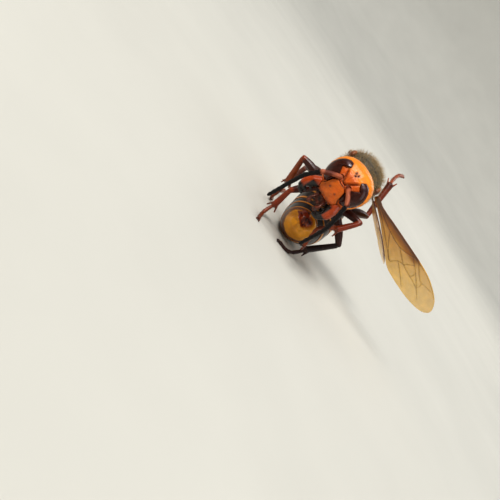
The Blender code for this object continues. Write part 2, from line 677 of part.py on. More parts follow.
def gaster_frame(s):
    """Centre, rearward direction, side and dorsal direction at a distance s behind the petiole."""
    centre = gaster_middle(s)
    angle = heading(s)
    before, after = (smooth_values(SIDE_SHIFT, s + way * FINE_STEP)[0] for way in (-1, 1))
    drift = (after - before) / (2 * FINE_STEP)
    along = np.array((drift, math.cos(angle), -math.sin(angle)))
    along /= np.linalg.norm(along)
    dorsal = np.array((0.0, math.sin(angle), math.cos(angle)))
    side = np.cross(dorsal, along)
    side /= np.linalg.norm(side)
    dorsal = np.cross(along, side)
    roll = TIP_ROLL * max(s, 0.0) / GASTER_ENDS[-1]
    return (centre, along, side * math.cos(roll) + dorsal * math.sin(roll),
            dorsal * math.cos(roll) - side * math.sin(roll))


def gaster_ring(s, radius, shift=0.0, sides=GASTER_SIDES):
    centre, along, side, dorsal = gaster_frame(s)
    height = radius * GASTER_FLATNESS
    return oval(centre + along * shift, side, dorsal, radius, height, sides, GASTER_SQUARENESS)


def segment_profile(index):
    """The radius along a segment of the gaster, as (share, radius)."""
    if index == 0:
        return FIRST_SEGMENT
    if index == len(GASTER_RADII) - 1:
        return LAST_SEGMENT
    front, rear = GASTER_RADII[index]
    radii = (front, front, (front + rear) / 2, rear, rear)
    return [(share, radius * swell) for share, radius, swell in zip(SEGMENT_SHARES, radii, SEGMENT_SWELL)]


def build_gaster(propodeum):
    stalk = [gaster_ring(s, radius, 0.0, PETIOLE_SIDES) for s, radius in PETIOLE_RINGS]
    petiole = add_object("petiole", loft(stalk), "black")
    fit_to(petiole, propodeum)
    pieces = []
    for i, (start, end) in enumerate(zip(GASTER_ENDS, GASTER_ENDS[1:])):
        rings = []
        for share, radius in segment_profile(i):
            shift = GAP / 2 * (1 - 2 * share) if share in (0.0, 1.0) else 0.0
            rings.append(gaster_ring(start + (end - start) * share, radius, shift))
        pieces.append(add_object(f"gaster_{i + 1}", loft(rings), "gaster"))
    fit_to(petiole, pieces[0])
    fit_to(pieces[0], propodeum)
    build_tip(pieces[-1])


def build_tip(last):
    """The sting chamber, let into the last segment."""
    centre, along, side, dorsal = gaster_frame(GASTER_ENDS[-1] - CHAMBER_BACK)
    middle = centre - dorsal * CHAMBER_LOW + np.array((CHAMBER_LEFT, 0.0, 0.0))
    length, width, height = CHAMBER_HALF
    rings = []
    for t, size in CHAMBER_SLICES:
        place = middle + along * length * t
        rings.append(oval(place, side, dorsal, width * size, height * size, CHAMBER_SIDES))
    chamber = add_object("sting_chamber", loft(rings), "sting")
    fit_to(last, chamber)


def scaled(profile, size):
    return [(share, radius * size) for share, radius in profile]


def add_spurs(tibia, knee, ankle):
    """The two spurs at the end of a tibia."""
    along = (ankle - knee) / np.linalg.norm(ankle - knee)
    across = np.cross(along, (0, 1, 0))
    across /= np.linalg.norm(across)
    for spread in (-1, 1):
        spur = across * SPUR_SPREAD * spread
        tip = ankle + spur * SPUR_FLARE + along * SPUR_LENGTH
        keep_with(tibia, scratch(tube([ankle + spur, tip], SPUR_HALF, SPUR_SIDES)), "UNION")


def tarsus_form(points, size):
    """Five joints, each widening to its end. The first is nearly half of the length."""
    path = smooth_path(points, FINE_STEP)
    spots = []
    halves = []
    for a, b in zip(TARSUS_ENDS, TARSUS_ENDS[1:]):
        for share, bulge in TARSUS_BULGE:
            radius = TARSUS_RADIUS * size * bulge
            spots.append(path[round((len(path) - 1) * (a + (b - a) * share))])
            halves.append((radius, radius))
    return tube(spots, halves, TARSUS_SIDES)


def add_claws(tarsus, points, size):
    end = np.array(points[-1], float)
    along = end - np.array(points[-2], float)
    along /= np.linalg.norm(along)
    across = np.cross(along, (0, 0, 1))
    across /= np.linalg.norm(across)
    thick, thin = (radius * size for radius in CLAW_RADII)
    halves = [(thick, thick), (thin, thin), (CLAW_POINT, CLAW_POINT)]
    for spread in (-1, 1):
        bend = end + along * CLAW_LENGTH * CLAW_BEND[0] + across * CLAW_BEND[1] * spread
        tip = bend + along * CLAW_LENGTH * CLAW_TIP[0] + across * CLAW_TIP[1] * spread + np.array(CLAW_DROP)
        claw = tube([end - along * CLAW_RADII[0], bend, tip], halves, TARSUS_SIDES)
        keep_with(tarsus, scratch(claw), "UNION")


def build_leg(name, points):
    size = LEG_THICKNESS[name.split("_")[0]]
    rest = TARSUS_RADIUS * size - FLOOR_SINK / 2
    points = [(*p[:2], rest - HEAD_Z) if p[2] is FLOOR else p for p in points]
    root, hip, knee, ankle = (np.array(p, float) for p in points[:4])
    thigh = [hip, (hip + knee) / 2 + np.array(FEMUR_ARCH), knee]
    coxa_form = limb([root, (root + hip) / 2, hip], scaled(COXA_PROFILE, size), LEG_SIDES, THIGH_STEP)
    femur_form = limb(thigh, scaled(FEMUR_PROFILE, size), LEG_SIDES, THIGH_STEP)
    tibia_form = limb([knee, (knee + ankle) / 2, ankle], scaled(TIBIA_PROFILE, size), LEG_SIDES, SHIN_STEP)
    coxa = add_object(f"coxa_{name}", coxa_form, "leg")
    femur = add_object(f"femur_{name}", femur_form, "leg")
    tibia = add_object(f"tibia_{name}", tibia_form, "leg")
    add_spurs(tibia, knee, ankle)
    tarsus = add_object(f"tarsus_{name}", tarsus_form([ankle] + list(points[4:]), size), "leg")
    add_claws(tarsus, points, size)
    fit_to(femur, coxa)
    fit_to(tibia, femur)
    fit_to(tarsus, tibia)
    return coxa


def build_legs(carriers):
    for name, points in LEGS.items():
        coxa = build_leg(name, points)
        for carrier in carriers:
            fit_to(coxa, carrier)


def distance_to_line(point, line):
    best = 1e9
    for a, b in zip(line, line[1:]):
        a, b = np.array(a), np.array(b)
        t = min(max((point - a) @ (b - a) / ((b - a) @ (b - a)), 0.0), 1.0)
        best = min(best, np.linalg.norm(point - a - (b - a) * t))
    return best


def wing_plan(outline, veins):
    """Triangles of a wing in its plane, with an edge along each vein and both of its sides."""
    rim = closed_curve(outline, RIM_POINTS)
    points = [Vector(p) for p in rim]
    edges = []
    for line in veins:
        spots = smooth_path(line, VEIN_STEP)
        for offset in (-VEIN_HALF_WIDTH, 0.0, VEIN_HALF_WIDTH):
            first = len(points)
            for i, spot in enumerate(spots):
                along = spots[min(i + 1, len(spots) - 1)] - spots[max(i - 1, 0)]
                along /= np.linalg.norm(along)
                points.append(Vector(spot + np.array((-along[1], along[0])) * offset))
            edges += [(first + i, first + i + 1) for i in range(len(spots) - 1)]
    flat, _, faces, _, _, _ = geometry.delaunay_2d_cdt(points, edges, [list(range(len(rim)))], 1, RIM_WELD)
    return flat, [tuple(face) for face in faces]


def wing_axes(name):
    """A wing's span, chord and normal as unit vectors."""
    span = np.array(WINGS[name]["span"]) / np.linalg.norm(WINGS[name]["span"])
    chord = np.array(WINGS[name]["chord"])
    chord = chord - span * (chord @ span)
    chord /= np.linalg.norm(chord)
    return span, chord, np.cross(span, chord)


def wing_sides(name, flat, veins, length):
    """The points of a wing's upper face, then of its lower one. A vein is a ridge on both."""
    span, chord, normal = wing_axes(name)
    root = np.array(WINGS[name]["root"])
    lines = [smooth_path(line, VEIN_STEP) for line in veins]
    points = []
    for sign in (1.0, -1.0):
        for spot in map(np.array, flat):
            near = min(distance_to_line(spot, line) for line in lines)
            rise = VEIN_RISE * max(0.0, 1.0 - near / VEIN_HALF_WIDTH)
            belly = WINGS[name]["belly"] * math.sin(math.pi * min(max(spot[0] / length, 0), 1))
            height = belly + sign * (WING_HALF_THICKNESS + rise)
            points.append(root + span * spot[0] + chord * spot[1] + normal * height)
    return points


def wing_mesh(name, outline, veins):
    """A wing as a closed plate: both faces and the rim between them."""
    flat, faces = wing_plan(outline, veins)
    points = wing_sides(name, flat, veins, max(p[0] for p in outline))
    count = len(flat)
    edges = {(a, b): True for face in faces for a, b in zip(face, face[1:] + face[:1])}
    rim = [(a, b) for a, b in edges if (b, a) not in edges]
    solid = list(faces)
    solid += [tuple(count + i for i in reversed(face)) for face in faces]
    for a, b in rim:
        solid.append((b, a, count + a))
        solid.append((b, count + a, count + b))
    return mesh_from(points, solid)


def wing_drawing(name):
    """Outline and veins of a wing. A folded wing is narrower and shows fewer veins."""
    if name.startswith("fore"):
        outline, veins = FOREWING_OUTLINE, FOREWING_VEINS
    else:
        outline, veins = HINDWING_OUTLINE, HINDWING_VEINS
    if name.endswith("right"):
        outline = [(s, c * FOLDED_CHORD) for s, c in outline]
        veins = [[(s, c * FOLDED_CHORD) for s, c in line] for line in veins[:FOLDED_VEINS]]
    return outline, veins


def build_wings(scutum, scutellum):
    for name in WINGS:
        wing = add_object(name, wing_mesh(name, *wing_drawing(name)), "wing")
        side = name.split("_")[1]
        fit_to(wing, bpy.data.objects[f"tegula_{side}"])
        fit_to(wing, scutum)
        fit_to(wing, scutellum)


def flatten_underside(parts):
    """Levels what lies below the floor, so that feet and gaster rest on small flats."""
    for obj in parts.objects:
        for vert in obj.data.vertices:
            if vert.co.z < 0.0:
                vert.co.z = 0.0


def settle(parts):
    """Sets the hornet on the floor, flattens what rests there, centres it and turns it to metres."""
    for obj in parts.objects:
        obj.data.transform(Matrix.Translation((0.0, 0.0, HEAD_Z)))
    flatten_underside(parts)
    corners = np.array([vert.co for obj in parts.objects for vert in obj.data.vertices])
    middle = (corners.min(axis=0) + corners.max(axis=0)) / 2
    place = Matrix.Scale(MM, 4) @ Matrix.Translation((-middle[0], -middle[1], 0.0))
    for obj in parts.objects:
        obj.data.transform(place)


def main():
    parts = clear_scene()
    head, clypeus = build_head()
    build_mandibles(head, clypeus)
    build_mouthparts(clypeus)
    build_antennae(head, clypeus)
    turn_head()
    pronotum, scutum, scutellum, propodeum = build_thorax()
    build_tegulae(pronotum, scutum)
    build_gaster(propodeum)
    build_legs([pronotum, scutum, scutellum, propodeum])
    build_wings(scutum, scutellum)
    settle(parts)
    print("triangles", sum(len(face.vertices) - 2 for obj in parts.objects for face in obj.data.polygons))


main()
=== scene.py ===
# %% [markdown]
# # A giant hornet, dressed for its portrait
# The solids of the hornet are already made and stand in one fixed frame. This lesson dresses them: smooth
# skins over the plain solids, markings painted on the vertices, thin wings with raised veins, and hair
# made of real geometry. Each step first says what the real animal shows and then how Blender can make it.

import math

import bmesh
import bpy
import numpy as np
from mathutils import Matrix, Vector, geometry
from mathutils.bvhtree import BVHTree


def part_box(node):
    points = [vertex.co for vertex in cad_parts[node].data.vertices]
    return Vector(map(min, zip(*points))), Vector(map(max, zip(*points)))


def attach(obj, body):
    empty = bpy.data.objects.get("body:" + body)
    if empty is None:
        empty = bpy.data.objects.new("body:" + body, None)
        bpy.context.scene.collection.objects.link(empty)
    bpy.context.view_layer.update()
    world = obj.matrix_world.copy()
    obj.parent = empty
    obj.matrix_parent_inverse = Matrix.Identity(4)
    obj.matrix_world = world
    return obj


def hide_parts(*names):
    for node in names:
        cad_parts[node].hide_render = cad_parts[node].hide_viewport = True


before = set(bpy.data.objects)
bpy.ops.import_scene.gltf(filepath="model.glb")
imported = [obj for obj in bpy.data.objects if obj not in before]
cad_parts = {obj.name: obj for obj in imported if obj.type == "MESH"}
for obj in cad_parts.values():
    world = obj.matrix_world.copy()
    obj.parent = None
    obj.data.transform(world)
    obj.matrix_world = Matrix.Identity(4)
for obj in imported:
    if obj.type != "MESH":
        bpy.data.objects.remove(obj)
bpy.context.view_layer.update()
print("solids in the frame:", len(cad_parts))

# %% [markdown]
# ## Working in millimetres
# Blender's remesh and smoothing tools are easier to steer when one unit is a millimetre, so every piece is
# shaped in millimetres round the centre of the head and scaled to metres at the very end. The head's
# centre is found from the two small plates over the wing roots, which sit evenly on both sides of the
# thorax.

# %% Centre of the head
MM = 0.001
HEAD_HEIGHT = 19.15
PLATE_BEHIND_HEAD = 9.2
HEAD_YAW = math.radians(-7.0)


def box_middle(node):
    low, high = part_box(node)
    return (low + high) / 2


plates = (box_middle("tegula_left") + box_middle("tegula_right")) / 2
HEAD_CENTRE = Vector((plates.x, plates.y - PLATE_BEHIND_HEAD * MM, HEAD_HEIGHT * MM))
print("head centre in metres:", [round(value, 5) for value in HEAD_CENTRE])

# %% [markdown]
# ## Camera
# The picture looks at the face from slightly above with the camera rolled, so that the hornet's long axis
# runs down to the left. The roll is written as two unit vectors: how much of the picture's right-hand
# direction is the hornet's own left, and how much is its upward tilt.

# %% Camera
CAMERA_TILT = math.radians(17.0)
CAMERA_OFFSET = (0.73, -140.94, 17.84)
ROLL_LEFT, ROLL_UP = 0.539, 0.843
SENSOR = 36.0
LENS = 48.93

left_axis = Vector((1.0, 0.0, 0.0))
rise_axis = Vector((0.0, math.sin(CAMERA_TILT), math.cos(CAMERA_TILT)))
view_right = (left_axis * ROLL_LEFT + rise_axis * ROLL_UP).normalized()
view_up = (rise_axis * ROLL_LEFT - left_axis * ROLL_UP).normalized()
view_back = view_right.cross(view_up)


def new_object(name, data):
    """An object that shows some data, linked to the scene."""
    made = bpy.data.objects.new(name, data)
    bpy.context.scene.collection.objects.link(made)
    return made


lens = bpy.data.cameras.new("portrait_camera")
lens.sensor_width = SENSOR
lens.lens = LENS
lens.clip_start = MM
camera = new_object("portrait_camera", lens)
camera.matrix_world = (Matrix.Translation(HEAD_CENTRE + Vector(CAMERA_OFFSET) * MM)
                       @ Matrix((view_right, view_up, view_back)).transposed().to_4x4())
bpy.context.scene.camera = camera
bpy.context.scene.view_settings.view_transform = "Standard"
bpy.context.scene.view_settings.look = "Medium High Contrast"
print("camera stands at", [round(value, 4) for value in camera.location])

# %% [markdown]
# ## A node group in a few words
# Every material starts as a Principled shader. A small helper adds a node and sets its sockets in one
# call, so that each recipe below reads as a list of what the surface does.

# %% Material helpers
NOISE_RANGE = (0.3, 0.7)
NOISE_DETAIL = 4.0


def new_material(name, roughness):
    made = bpy.data.materials.new(name)
    made.use_nodes = True
    shader = made.node_tree.nodes["Principled BSDF"]
    shader.inputs["Roughness"].default_value = roughness
    return made, shader


def add_node(made, kind, **values):
    """Adds one node. A value goes to the node's own setting of that name, or else to its socket."""
    node = made.node_tree.nodes.new(kind)
    for key, value in values.items():
        if hasattr(node, key):
            setattr(node, key, value)
        else:
            node.inputs[key.replace("_", " ")].default_value = value
    return node


def lacquer(shader, weight, roughness):
    """A second, clear surface over the first, which is what makes a shell look polished."""
    shader.inputs["Coat Weight"].default_value = weight
    shader.inputs["Coat Roughness"].default_value = roughness


def join(made, source, target):
    made.node_tree.links.new(source, target)


def place_in_millimetres(made):
    """Object coordinates, counted in millimetres."""
    where = add_node(made, "ShaderNodeTexCoord")
    mapping = add_node(made, "ShaderNodeMapping", Scale=(1.0 / MM,) * 3)
    join(made, where.outputs["Object"], mapping.inputs["Vector"])
    return mapping.outputs["Vector"]


def texture(made, kind, where, **values):
    """A texture node that is read at a place."""
    node = add_node(made, kind, **values)
    join(made, where, node.inputs["Vector"])
    return node


def stretched(made, source, start, end, low=0.0, high=1.0):
    """Turns what lies between start and end into what lies between low and high."""
    spread = add_node(made, "ShaderNodeMapRange", From_Min=start, From_Max=end, To_Min=low, To_Max=high)
    join(made, source, spread.inputs["Value"])
    return spread.outputs["Result"]


def speckled(made, colour_socket, where, scale, low, high):
    """Colour times a soft noise between low and high."""
    noise = texture(made, "ShaderNodeTexNoise", where, Scale=scale, Detail=NOISE_DETAIL)
    share = stretched(made, noise.outputs["Fac"], *NOISE_RANGE, low, high)
    product = add_node(made, "ShaderNodeMix", data_type="RGBA", blend_type="MULTIPLY", Factor=1.0)
    join(made, colour_socket, product.inputs["A"])
    join(made, share, product.inputs["B"])
    return product.outputs["Result"]


def bumped(made, shader, height, strength, depth):
    """Roughens the surface by a height, without moving it. The depth is in metres."""
    bump = add_node(made, "ShaderNodeBump", Strength=strength, Distance=depth)
    join(made, height, bump.inputs["Height"])
    join(made, bump.outputs["Normal"], shader.inputs["Normal"])


def tint_socket(made):
    """The colour that is painted on the vertices."""
    return add_node(made, "ShaderNodeAttribute", attribute_name="Tint").outputs["Color"]


print("material helpers are ready")

# %% [markdown]
# ## The studio
# A pale bowl stands in for a seamless paper sweep: a flat floor that curves up all round, so that no
# horizon cuts the picture from any side. It is built as rings of points round a centre, because a profile
# of a few numbers is then all that has to be kept.

# %% Floor
BOWL_PROFILE = [(0.0, 0.0), (0.4, 0.0), (0.65, 0.01), (0.9, 0.06), (1.05, 0.16), (1.12, 0.34), (1.15, 0.6)]
BOWL_SIDES = 72
PAPER_COLOUR = (0.60, 0.58, 0.52, 1.0)
PAPER_ROUGHNESS = 0.85
PAPER_SPECKS, PAPER_DARKEST, PAPER_PALEST = 0.02, 0.96, 1.02


def ring_of(radius, height, sides):
    """Points evenly round a circle."""
    turns = [2 * math.pi * i / sides for i in range(sides)]
    return [(radius * math.cos(turn), radius * math.sin(turn), height) for turn in turns]


def studio_bowl():
    points = [(0.0, 0.0, 0.0)]
    for radius, height in BOWL_PROFILE[1:]:
        points += ring_of(radius, height, BOWL_SIDES)
    neighbours = [(i, (i + 1) % BOWL_SIDES) for i in range(BOWL_SIDES)]
    faces = [(0, 1 + i, 1 + j) for i, j in neighbours]
    for ring in range(len(BOWL_PROFILE) - 2):
        inner = 1 + ring * BOWL_SIDES
        outer = inner + BOWL_SIDES
        faces += [(inner + i, outer + i, outer + j, inner + j) for i, j in neighbours]
    mesh = bpy.data.meshes.new("floor")
    mesh.from_pydata(points, [], faces)
    mesh.shade_smooth()
    return new_object("floor", mesh)


paper, paper_shader = new_material("pale_floor", PAPER_ROUGHNESS)
paper_colour = add_node(paper, "ShaderNodeRGB")
paper_colour.outputs[0].default_value = PAPER_COLOUR
paper_specks = speckled(paper, paper_colour.outputs[0], place_in_millimetres(paper),
                        PAPER_SPECKS, PAPER_DARKEST, PAPER_PALEST)
join(paper, paper_specks, paper_shader.inputs["Base Color"])
floor = studio_bowl()
floor.data.materials.append(paper)
print("floor:", len(floor.data.vertices), "points")

# %% [markdown]
# A glossy insect shows its lamps as highlights, so they are wide and soft: a key in front, a weak cool
# fill on the other side and a rim from behind. A sun lamp with a broad angle lights floor and walls alike,
# as an overcast day does, and a weak bluish sky fills the shadows.

# %% Light
SKY_COLOUR = (0.86, 0.93, 1.0, 1.0)
SKY_STRENGTH = 0.3
ROOM_LIGHT_FROM, ROOM_LIGHT_POWER, ROOM_LIGHT_DEGREES = (-0.25, -0.3, 1.0), 1.5, 35.0
# Place and size in metres, power in watts, and colour.
SOFT_LAMPS = {
    "key_lamp": ((-0.22, -0.26, 0.42), 0.18, 1.1, (1.0, 0.97, 0.92)),
    "fill_lamp": ((0.4, -0.2, 0.25), 0.3, 0.3, (0.9, 0.95, 1.0)),
    "rim_lamp": ((0.1, 0.4, 0.3), 0.25, 0.4, (1.0, 0.98, 0.95)),
}


def hang_lamp(name, lamp, place, way):
    """Puts a lamp at a place, so that it shines along a way."""
    holder = new_object(name, lamp)
    holder.location = place
    holder.rotation_euler = way.to_track_quat("-Z", "Y").to_euler()


world = bpy.data.worlds.new("pale_sky")
bpy.context.scene.world = world
world.use_nodes = True
sky = world.node_tree.nodes["Background"]
sky.inputs["Color"].default_value = SKY_COLOUR
sky.inputs["Strength"].default_value = SKY_STRENGTH

room_light = bpy.data.lights.new("room_light", "SUN")
room_light.energy = ROOM_LIGHT_POWER
room_light.angle = math.radians(ROOM_LIGHT_DEGREES)
hang_lamp("room_light", room_light, (0.0, 0.0, 0.0), -Vector(ROOM_LIGHT_FROM))

for name, (place, size, power, colour) in SOFT_LAMPS.items():
    lamp = bpy.data.lights.new(name, "AREA")
    lamp.size = size
    lamp.energy = power
    lamp.color = colour
    hang_lamp(name, lamp, place, HEAD_CENTRE - Vector(place))
print("light: a pale sky, an even light and", len(SOFT_LAMPS), "soft lamps")

# %% [markdown]
# ## From a plain solid to a smooth skin
# A solid made for physics has flat facets and a hair's breadth of air to its neighbours. A living insect
# has neither. Here some solids are swelled a little until they touch, melted into one skin with the Remesh
# modifier in voxel mode, and relaxed with the Smooth modifier. The same helper serves the head, the legs
# and the jaws.

# %% From a solid to a skin
WELD = 0.001
SHARPEST_CORNER = 1.5
RELAX_FACTOR = 0.5


def finished(work, name):
    """Ends the work on a bmesh and gives back the mesh that came of it."""
    mesh = bpy.data.meshes.new(name)
    work.to_mesh(mesh)
    work.free()
    return mesh


def node_mesh(node, grow=0.0):
    """One solid in millimetres round the head's centre, swelled by grow."""
    work = bmesh.new()
    work.from_mesh(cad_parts[node].data)
    for vert in work.verts:
        vert.co = (vert.co - HEAD_CENTRE) / MM
    bmesh.ops.remove_doubles(work, verts=work.verts, dist=WELD)
    work.normal_update()
    moves = [vert.normal * grow * min(vert.calc_shell_factor(), SHARPEST_CORNER) for vert in work.verts]
    for vert, move in zip(work.verts, moves):
        vert.co += move
    return finished(work, "grown")


def joined_nodes(nodes, grow):
    """Several swelled solids in one mesh."""
    whole = bmesh.new()
    for node in nodes:
        part = node_mesh(node, grow)
        whole.from_mesh(part)
        bpy.data.meshes.remove(part)
    return finished(whole, "skin")


def skin_mesh(nodes, grow, voxel, relax):
    """One smooth skin in millimetres over one node or several."""
    obj = new_object("in_work", joined_nodes(nodes, grow))
    remesh = obj.modifiers.new("melt", "REMESH")
    remesh.mode = "VOXEL"
    remesh.voxel_size = voxel
    smooth = obj.modifiers.new("relax", "SMOOTH")
    smooth.factor = RELAX_FACTOR
    smooth.iterations = relax
    bpy.context.view_layer.update()
    graph = bpy.context.evaluated_depsgraph_get()
    mesh = bpy.data.meshes.new_from_object(obj.evaluated_get(graph))
    bpy.data.objects.remove(obj)
    return mesh


print("skins come from", len(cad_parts), "solids")

# %% [markdown]
# Forms and markings too fine for a solid are functions of the place. They work on all vertices at once, as
# rows of numbers, which is quick even for a skin of a hundred thousand points. Four small curves are
# enough to draw with: a step, a step up and down again, a hill and a slow noise.

# %% Reading, drawing and painting a mesh
WAVES = 6
WAVE_LENGTHS = (0.6, 1.6)
TINY = 1e-9


def read_vectors(rows, key):
    flat = np.empty(len(rows) * 3, np.float32)
    rows.foreach_get(key, flat)
    return flat.reshape(-1, 3).astype(float)


def points_of(mesh):
    return read_vectors(mesh.vertices, "co")


def normals_of(mesh):
    return read_vectors(mesh.vertex_normals, "vector")


def set_points(mesh, points):
    mesh.vertices.foreach_set("co", points.astype(np.float32).ravel())
    mesh.update()


def raise_points(mesh, rise):
    """Moves each point along its normal by its own rise."""
    set_points(mesh, points_of(mesh) + normals_of(mesh) * rise[:, None])


def paint(mesh, colours):
    """Stores one colour a vertex under the name Tint, for the materials to read."""
    layer = mesh.color_attributes.new("Tint", "FLOAT_COLOR", "POINT")
    rgba = np.ones((len(colours), 4), np.float32)
    rgba[:, :3] = np.clip(colours, 0.0, 1.0)
    layer.data.foreach_set("color", rgba.ravel())


def plain_colour(colour, count):
    return np.tile(np.array(colour), (count, 1))


def blend_colour(base, colour, share):
    share = np.asarray(share)[:, None]
    return base * (1 - share) + np.array(colour) * share


def ramp(value, start, end):
    """A smooth step from 0 at start to 1 at end."""
    t = np.clip((value - start) / (end - start), 0.0, 1.0)
    return t * t * (3 - 2 * t)


def plateau(value, start, full, fading, end):
    """A smooth step up from start to full, and down again from fading to end."""
    return ramp(value, start, full) * (1 - ramp(value, fading, end))


def hill(value, middle, width):
    """A soft hill, 1 high at its middle, that falls off within about a width."""
    return np.exp(-((value - middle) / width) ** 2)


def flat_noise(points, scale, seed):
    """A cheap smooth noise, mostly between -1 and 1, made of a few crossed waves."""
    dice = np.random.default_rng(seed)
    total = np.zeros(len(points))
    for _ in range(WAVES):
        way = dice.normal(size=3)
        way /= np.linalg.norm(way)
        turns = points @ way * scale * dice.uniform(*WAVE_LENGTHS)
        total += np.sin(turns * 2 * math.pi + dice.uniform(0, 2 * math.pi))
    return total / (WAVES / 2)


print("drawing helpers are ready")

# %% [markdown]
# A shaped mesh becomes a piece of the hornet in one step: it gets its finish, rides on the one body, and
# hides the solids that it stands for. A copy in millimetres is put by, because hair grows on it later.

# %% Dressing a piece
skins = {}


def dress(name, mesh, finish, nodes=()):
    """Turns a shaped mesh into a piece of the hornet, in metres, that stands for some nodes."""
    skins[name] = mesh.copy()
    mesh.transform(Matrix.Translation(HEAD_CENTRE) @ Matrix.Scale(MM, 4))
    mesh.shade_smooth()
    mesh.materials.clear()
    mesh.materials.append(finish)
    piece = new_object(name, mesh)
    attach(piece, "root")
    if nodes:
        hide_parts(*nodes)
    print(f"{name}: {len(mesh.vertices)} vertices")


print("each piece is made in millimetres and set", round(HEAD_CENTRE.z / MM, 2), "mm above the floor")

# %% [markdown]
# ## Horn and lacquer
# An insect's shell is chitin: hard, a little translucent, with fine pits and a thin glossy skin. A
# Principled shader with a coat comes close. The colour comes from the vertices, a slow noise keeps it from
# looking sprayed on, and tiny cells of a Voronoi texture make the pits.

# %% Shell material
COAT_ROUGHNESS = 0.12
BROAD_SPECKS, FINE_SPECKS, FINE_SHARE = 0.9, 9.0, 0.7
PIT_EDGE, PIT_DEPTH = 0.35, 0.00003


def shell(name, roughness, coat, pits, pit_scale, variation=0.12, gloss=0.5):
    """Chitin: how rough, how lacquered, how deep and how many the pits, how uneven, and how glossy below."""
    made, shader = new_material(name, roughness)
    lacquer(shader, coat, COAT_ROUGHNESS)
    shader.inputs["Specular IOR Level"].default_value = gloss
    where = place_in_millimetres(made)
    fine = variation * FINE_SHARE
    colour = speckled(made, tint_socket(made), where, BROAD_SPECKS, 1.0 - variation, 1.0 + variation)
    colour = speckled(made, colour, where, FINE_SPECKS, 1.0 - fine, 1.0 + fine)
    join(made, colour, shader.inputs["Base Color"])
    cells = texture(made, "ShaderNodeTexVoronoi", where, feature="F1", Scale=pit_scale)
    bumped(made, shader, stretched(made, cells.outputs["Distance"], 0.0, PIT_EDGE), pits, PIT_DEPTH)
    return made


FACE_SHELL = shell("face_shell", 0.40, coat=0.18, pits=0.45, pit_scale=3.2, variation=0.2, gloss=0.35)
LEG_SHELL = shell("leg_shell", 0.32, coat=0.1, pits=0.35, pit_scale=6.0, variation=0.2, gloss=0.3)
GASTER_SHELL = shell("gaster_shell", 0.36, coat=0.35, pits=0.25, pit_scale=4.0)
THORAX_SHELL = shell("thorax_shell", 0.62, coat=0.05, pits=0.8, pit_scale=5.0, variation=0.25)
print("shell materials:", FACE_SHELL.name, LEG_SHELL.name, GASTER_SHELL.name, THORAX_SHELL.name)

# %% [markdown]
# ## The head
# The face is orange, redder on the frons and yellower on the crown. Between the feelers rises a
# shield-shaped plate with a groove on each side. These forms are too fine for the solid, so they are
# pushed out of the skin as functions of the place on the face: x to the hornet's left and z up, before the
# head's small turn.

# %% Relief of the face
SHIELD = ((-5.22, 8.1), (5.22, 8.1), (0.36, 0.1), (-0.36, 0.1))
SHIELD_TOP = (1.9, 2.7)
SHIELD_RISE, SHIELD_EDGE = 0.30, (-0.05, 0.4)
MOAT_PLACE, MOAT_WIDTH, MOAT_DEPTH, MOAT_SHADE = -0.16, 0.19, 0.34, 0.17
MIDLINE_WIDTH, MIDLINE_DEPTH, MIDLINE_SPAN = 0.09, 0.10, (0.0, 0.6, 1.8, 2.4)
FEELER_ROOTS = ((1.35, 0.2), (-1.35, 0.2))
SOCKET_RIM, SOCKET_RIM_WIDTH, SOCKET_RIM_RISE = 0.66, 0.13, 0.16
SOCKET_DEPTH, SOCKET_WALL = 0.22, (0.3, 0.55)
SOCKET_WALL_SHADE, SOCKET_SHADE = 0.5, (0.6, 1.3)
OCELLI = ((0.0, 2.68, 0.16), (0.36, 3.12, 0.15), (-0.36, 3.12, 0.15))
OCELLUS_MOAT, OCELLUS_DEPTH, OCELLUS_INK = 0.08, 0.06, (0.05, 0.3)
BROW_PLACE, BROW_WIDTH, BROW_RISE, BROW_START = 0.95, 0.35, 0.05, (2.9, 3.6)
FACE_EDGE = (1.2, 2.0)


def face_places(points):
    """Turns points back by the head's yaw, to the plane in which the face is drawn."""
    c, s = math.cos(-HEAD_YAW), math.sin(-HEAD_YAW)
    x, y, z = points.T
    return np.stack([x * c - y * s, x * s + y * c, z], 1)


def inside_distance(x, z, corners):
    """How far inside a convex outline each place lies: positive inside, negative outside."""
    sides = list(zip(corners, corners[1:] + corners[:1]))
    turn = math.copysign(1.0, sum(a[0] * b[1] - b[0] * a[1] for a, b in sides))
    depth = np.full(len(x), np.inf)
    for a, b in sides:
        along = np.array((b[0] - a[0], b[1] - a[1]))
        along /= np.linalg.norm(along)
        depth = np.minimum(depth, turn * (along[0] * (z - a[1]) - along[1] * (x - a[0])))
    return depth


def shield_relief(x, z):
    """How far the frontal shield rises at each place, and how much painted shade its grooves get there."""
    inside = inside_distance(x, z, SHIELD)
    below = 1 - ramp(z, *SHIELD_TOP)
    moat = MOAT_DEPTH * hill(inside, MOAT_PLACE, MOAT_WIDTH)
    rise = below * (SHIELD_RISE * ramp(inside, *SHIELD_EDGE) - moat)
    rise -= MIDLINE_DEPTH * hill(x, 0.0, MIDLINE_WIDTH) * plateau(z, *MIDLINE_SPAN)
    # painted shade along the grooves of the shield
    return rise, below * hill(inside, MOAT_PLACE, MOAT_SHADE)


def socket_relief(reach):
    """The same for the socket of a feeler, by the distance from its middle: its rise, and painted shade on
    its wall and in its hollow.
    """
    rise = SOCKET_RIM_RISE * hill(reach, SOCKET_RIM, SOCKET_RIM_WIDTH)
    rise -= SOCKET_DEPTH * (1 - ramp(reach, *SOCKET_WALL))
    # painted shade in the hollow of the socket; the return adds painted shade on the socket's wall
    shade = 0.35 * (1 - ramp(reach, *SOCKET_SHADE))
    return rise, np.maximum(hill(reach, SOCKET_WALL_SHADE, SOCKET_RIM_WIDTH), shade)


def ocellus_relief(reach, radius):
    """The same for the bed of a simple eye."""
    near, far = OCELLUS_INK
    rise = -OCELLUS_DEPTH * hill(reach - radius, OCELLUS_MOAT, OCELLUS_MOAT)
    return rise, 0.9 * (1 - ramp(reach, radius + near, radius + far))


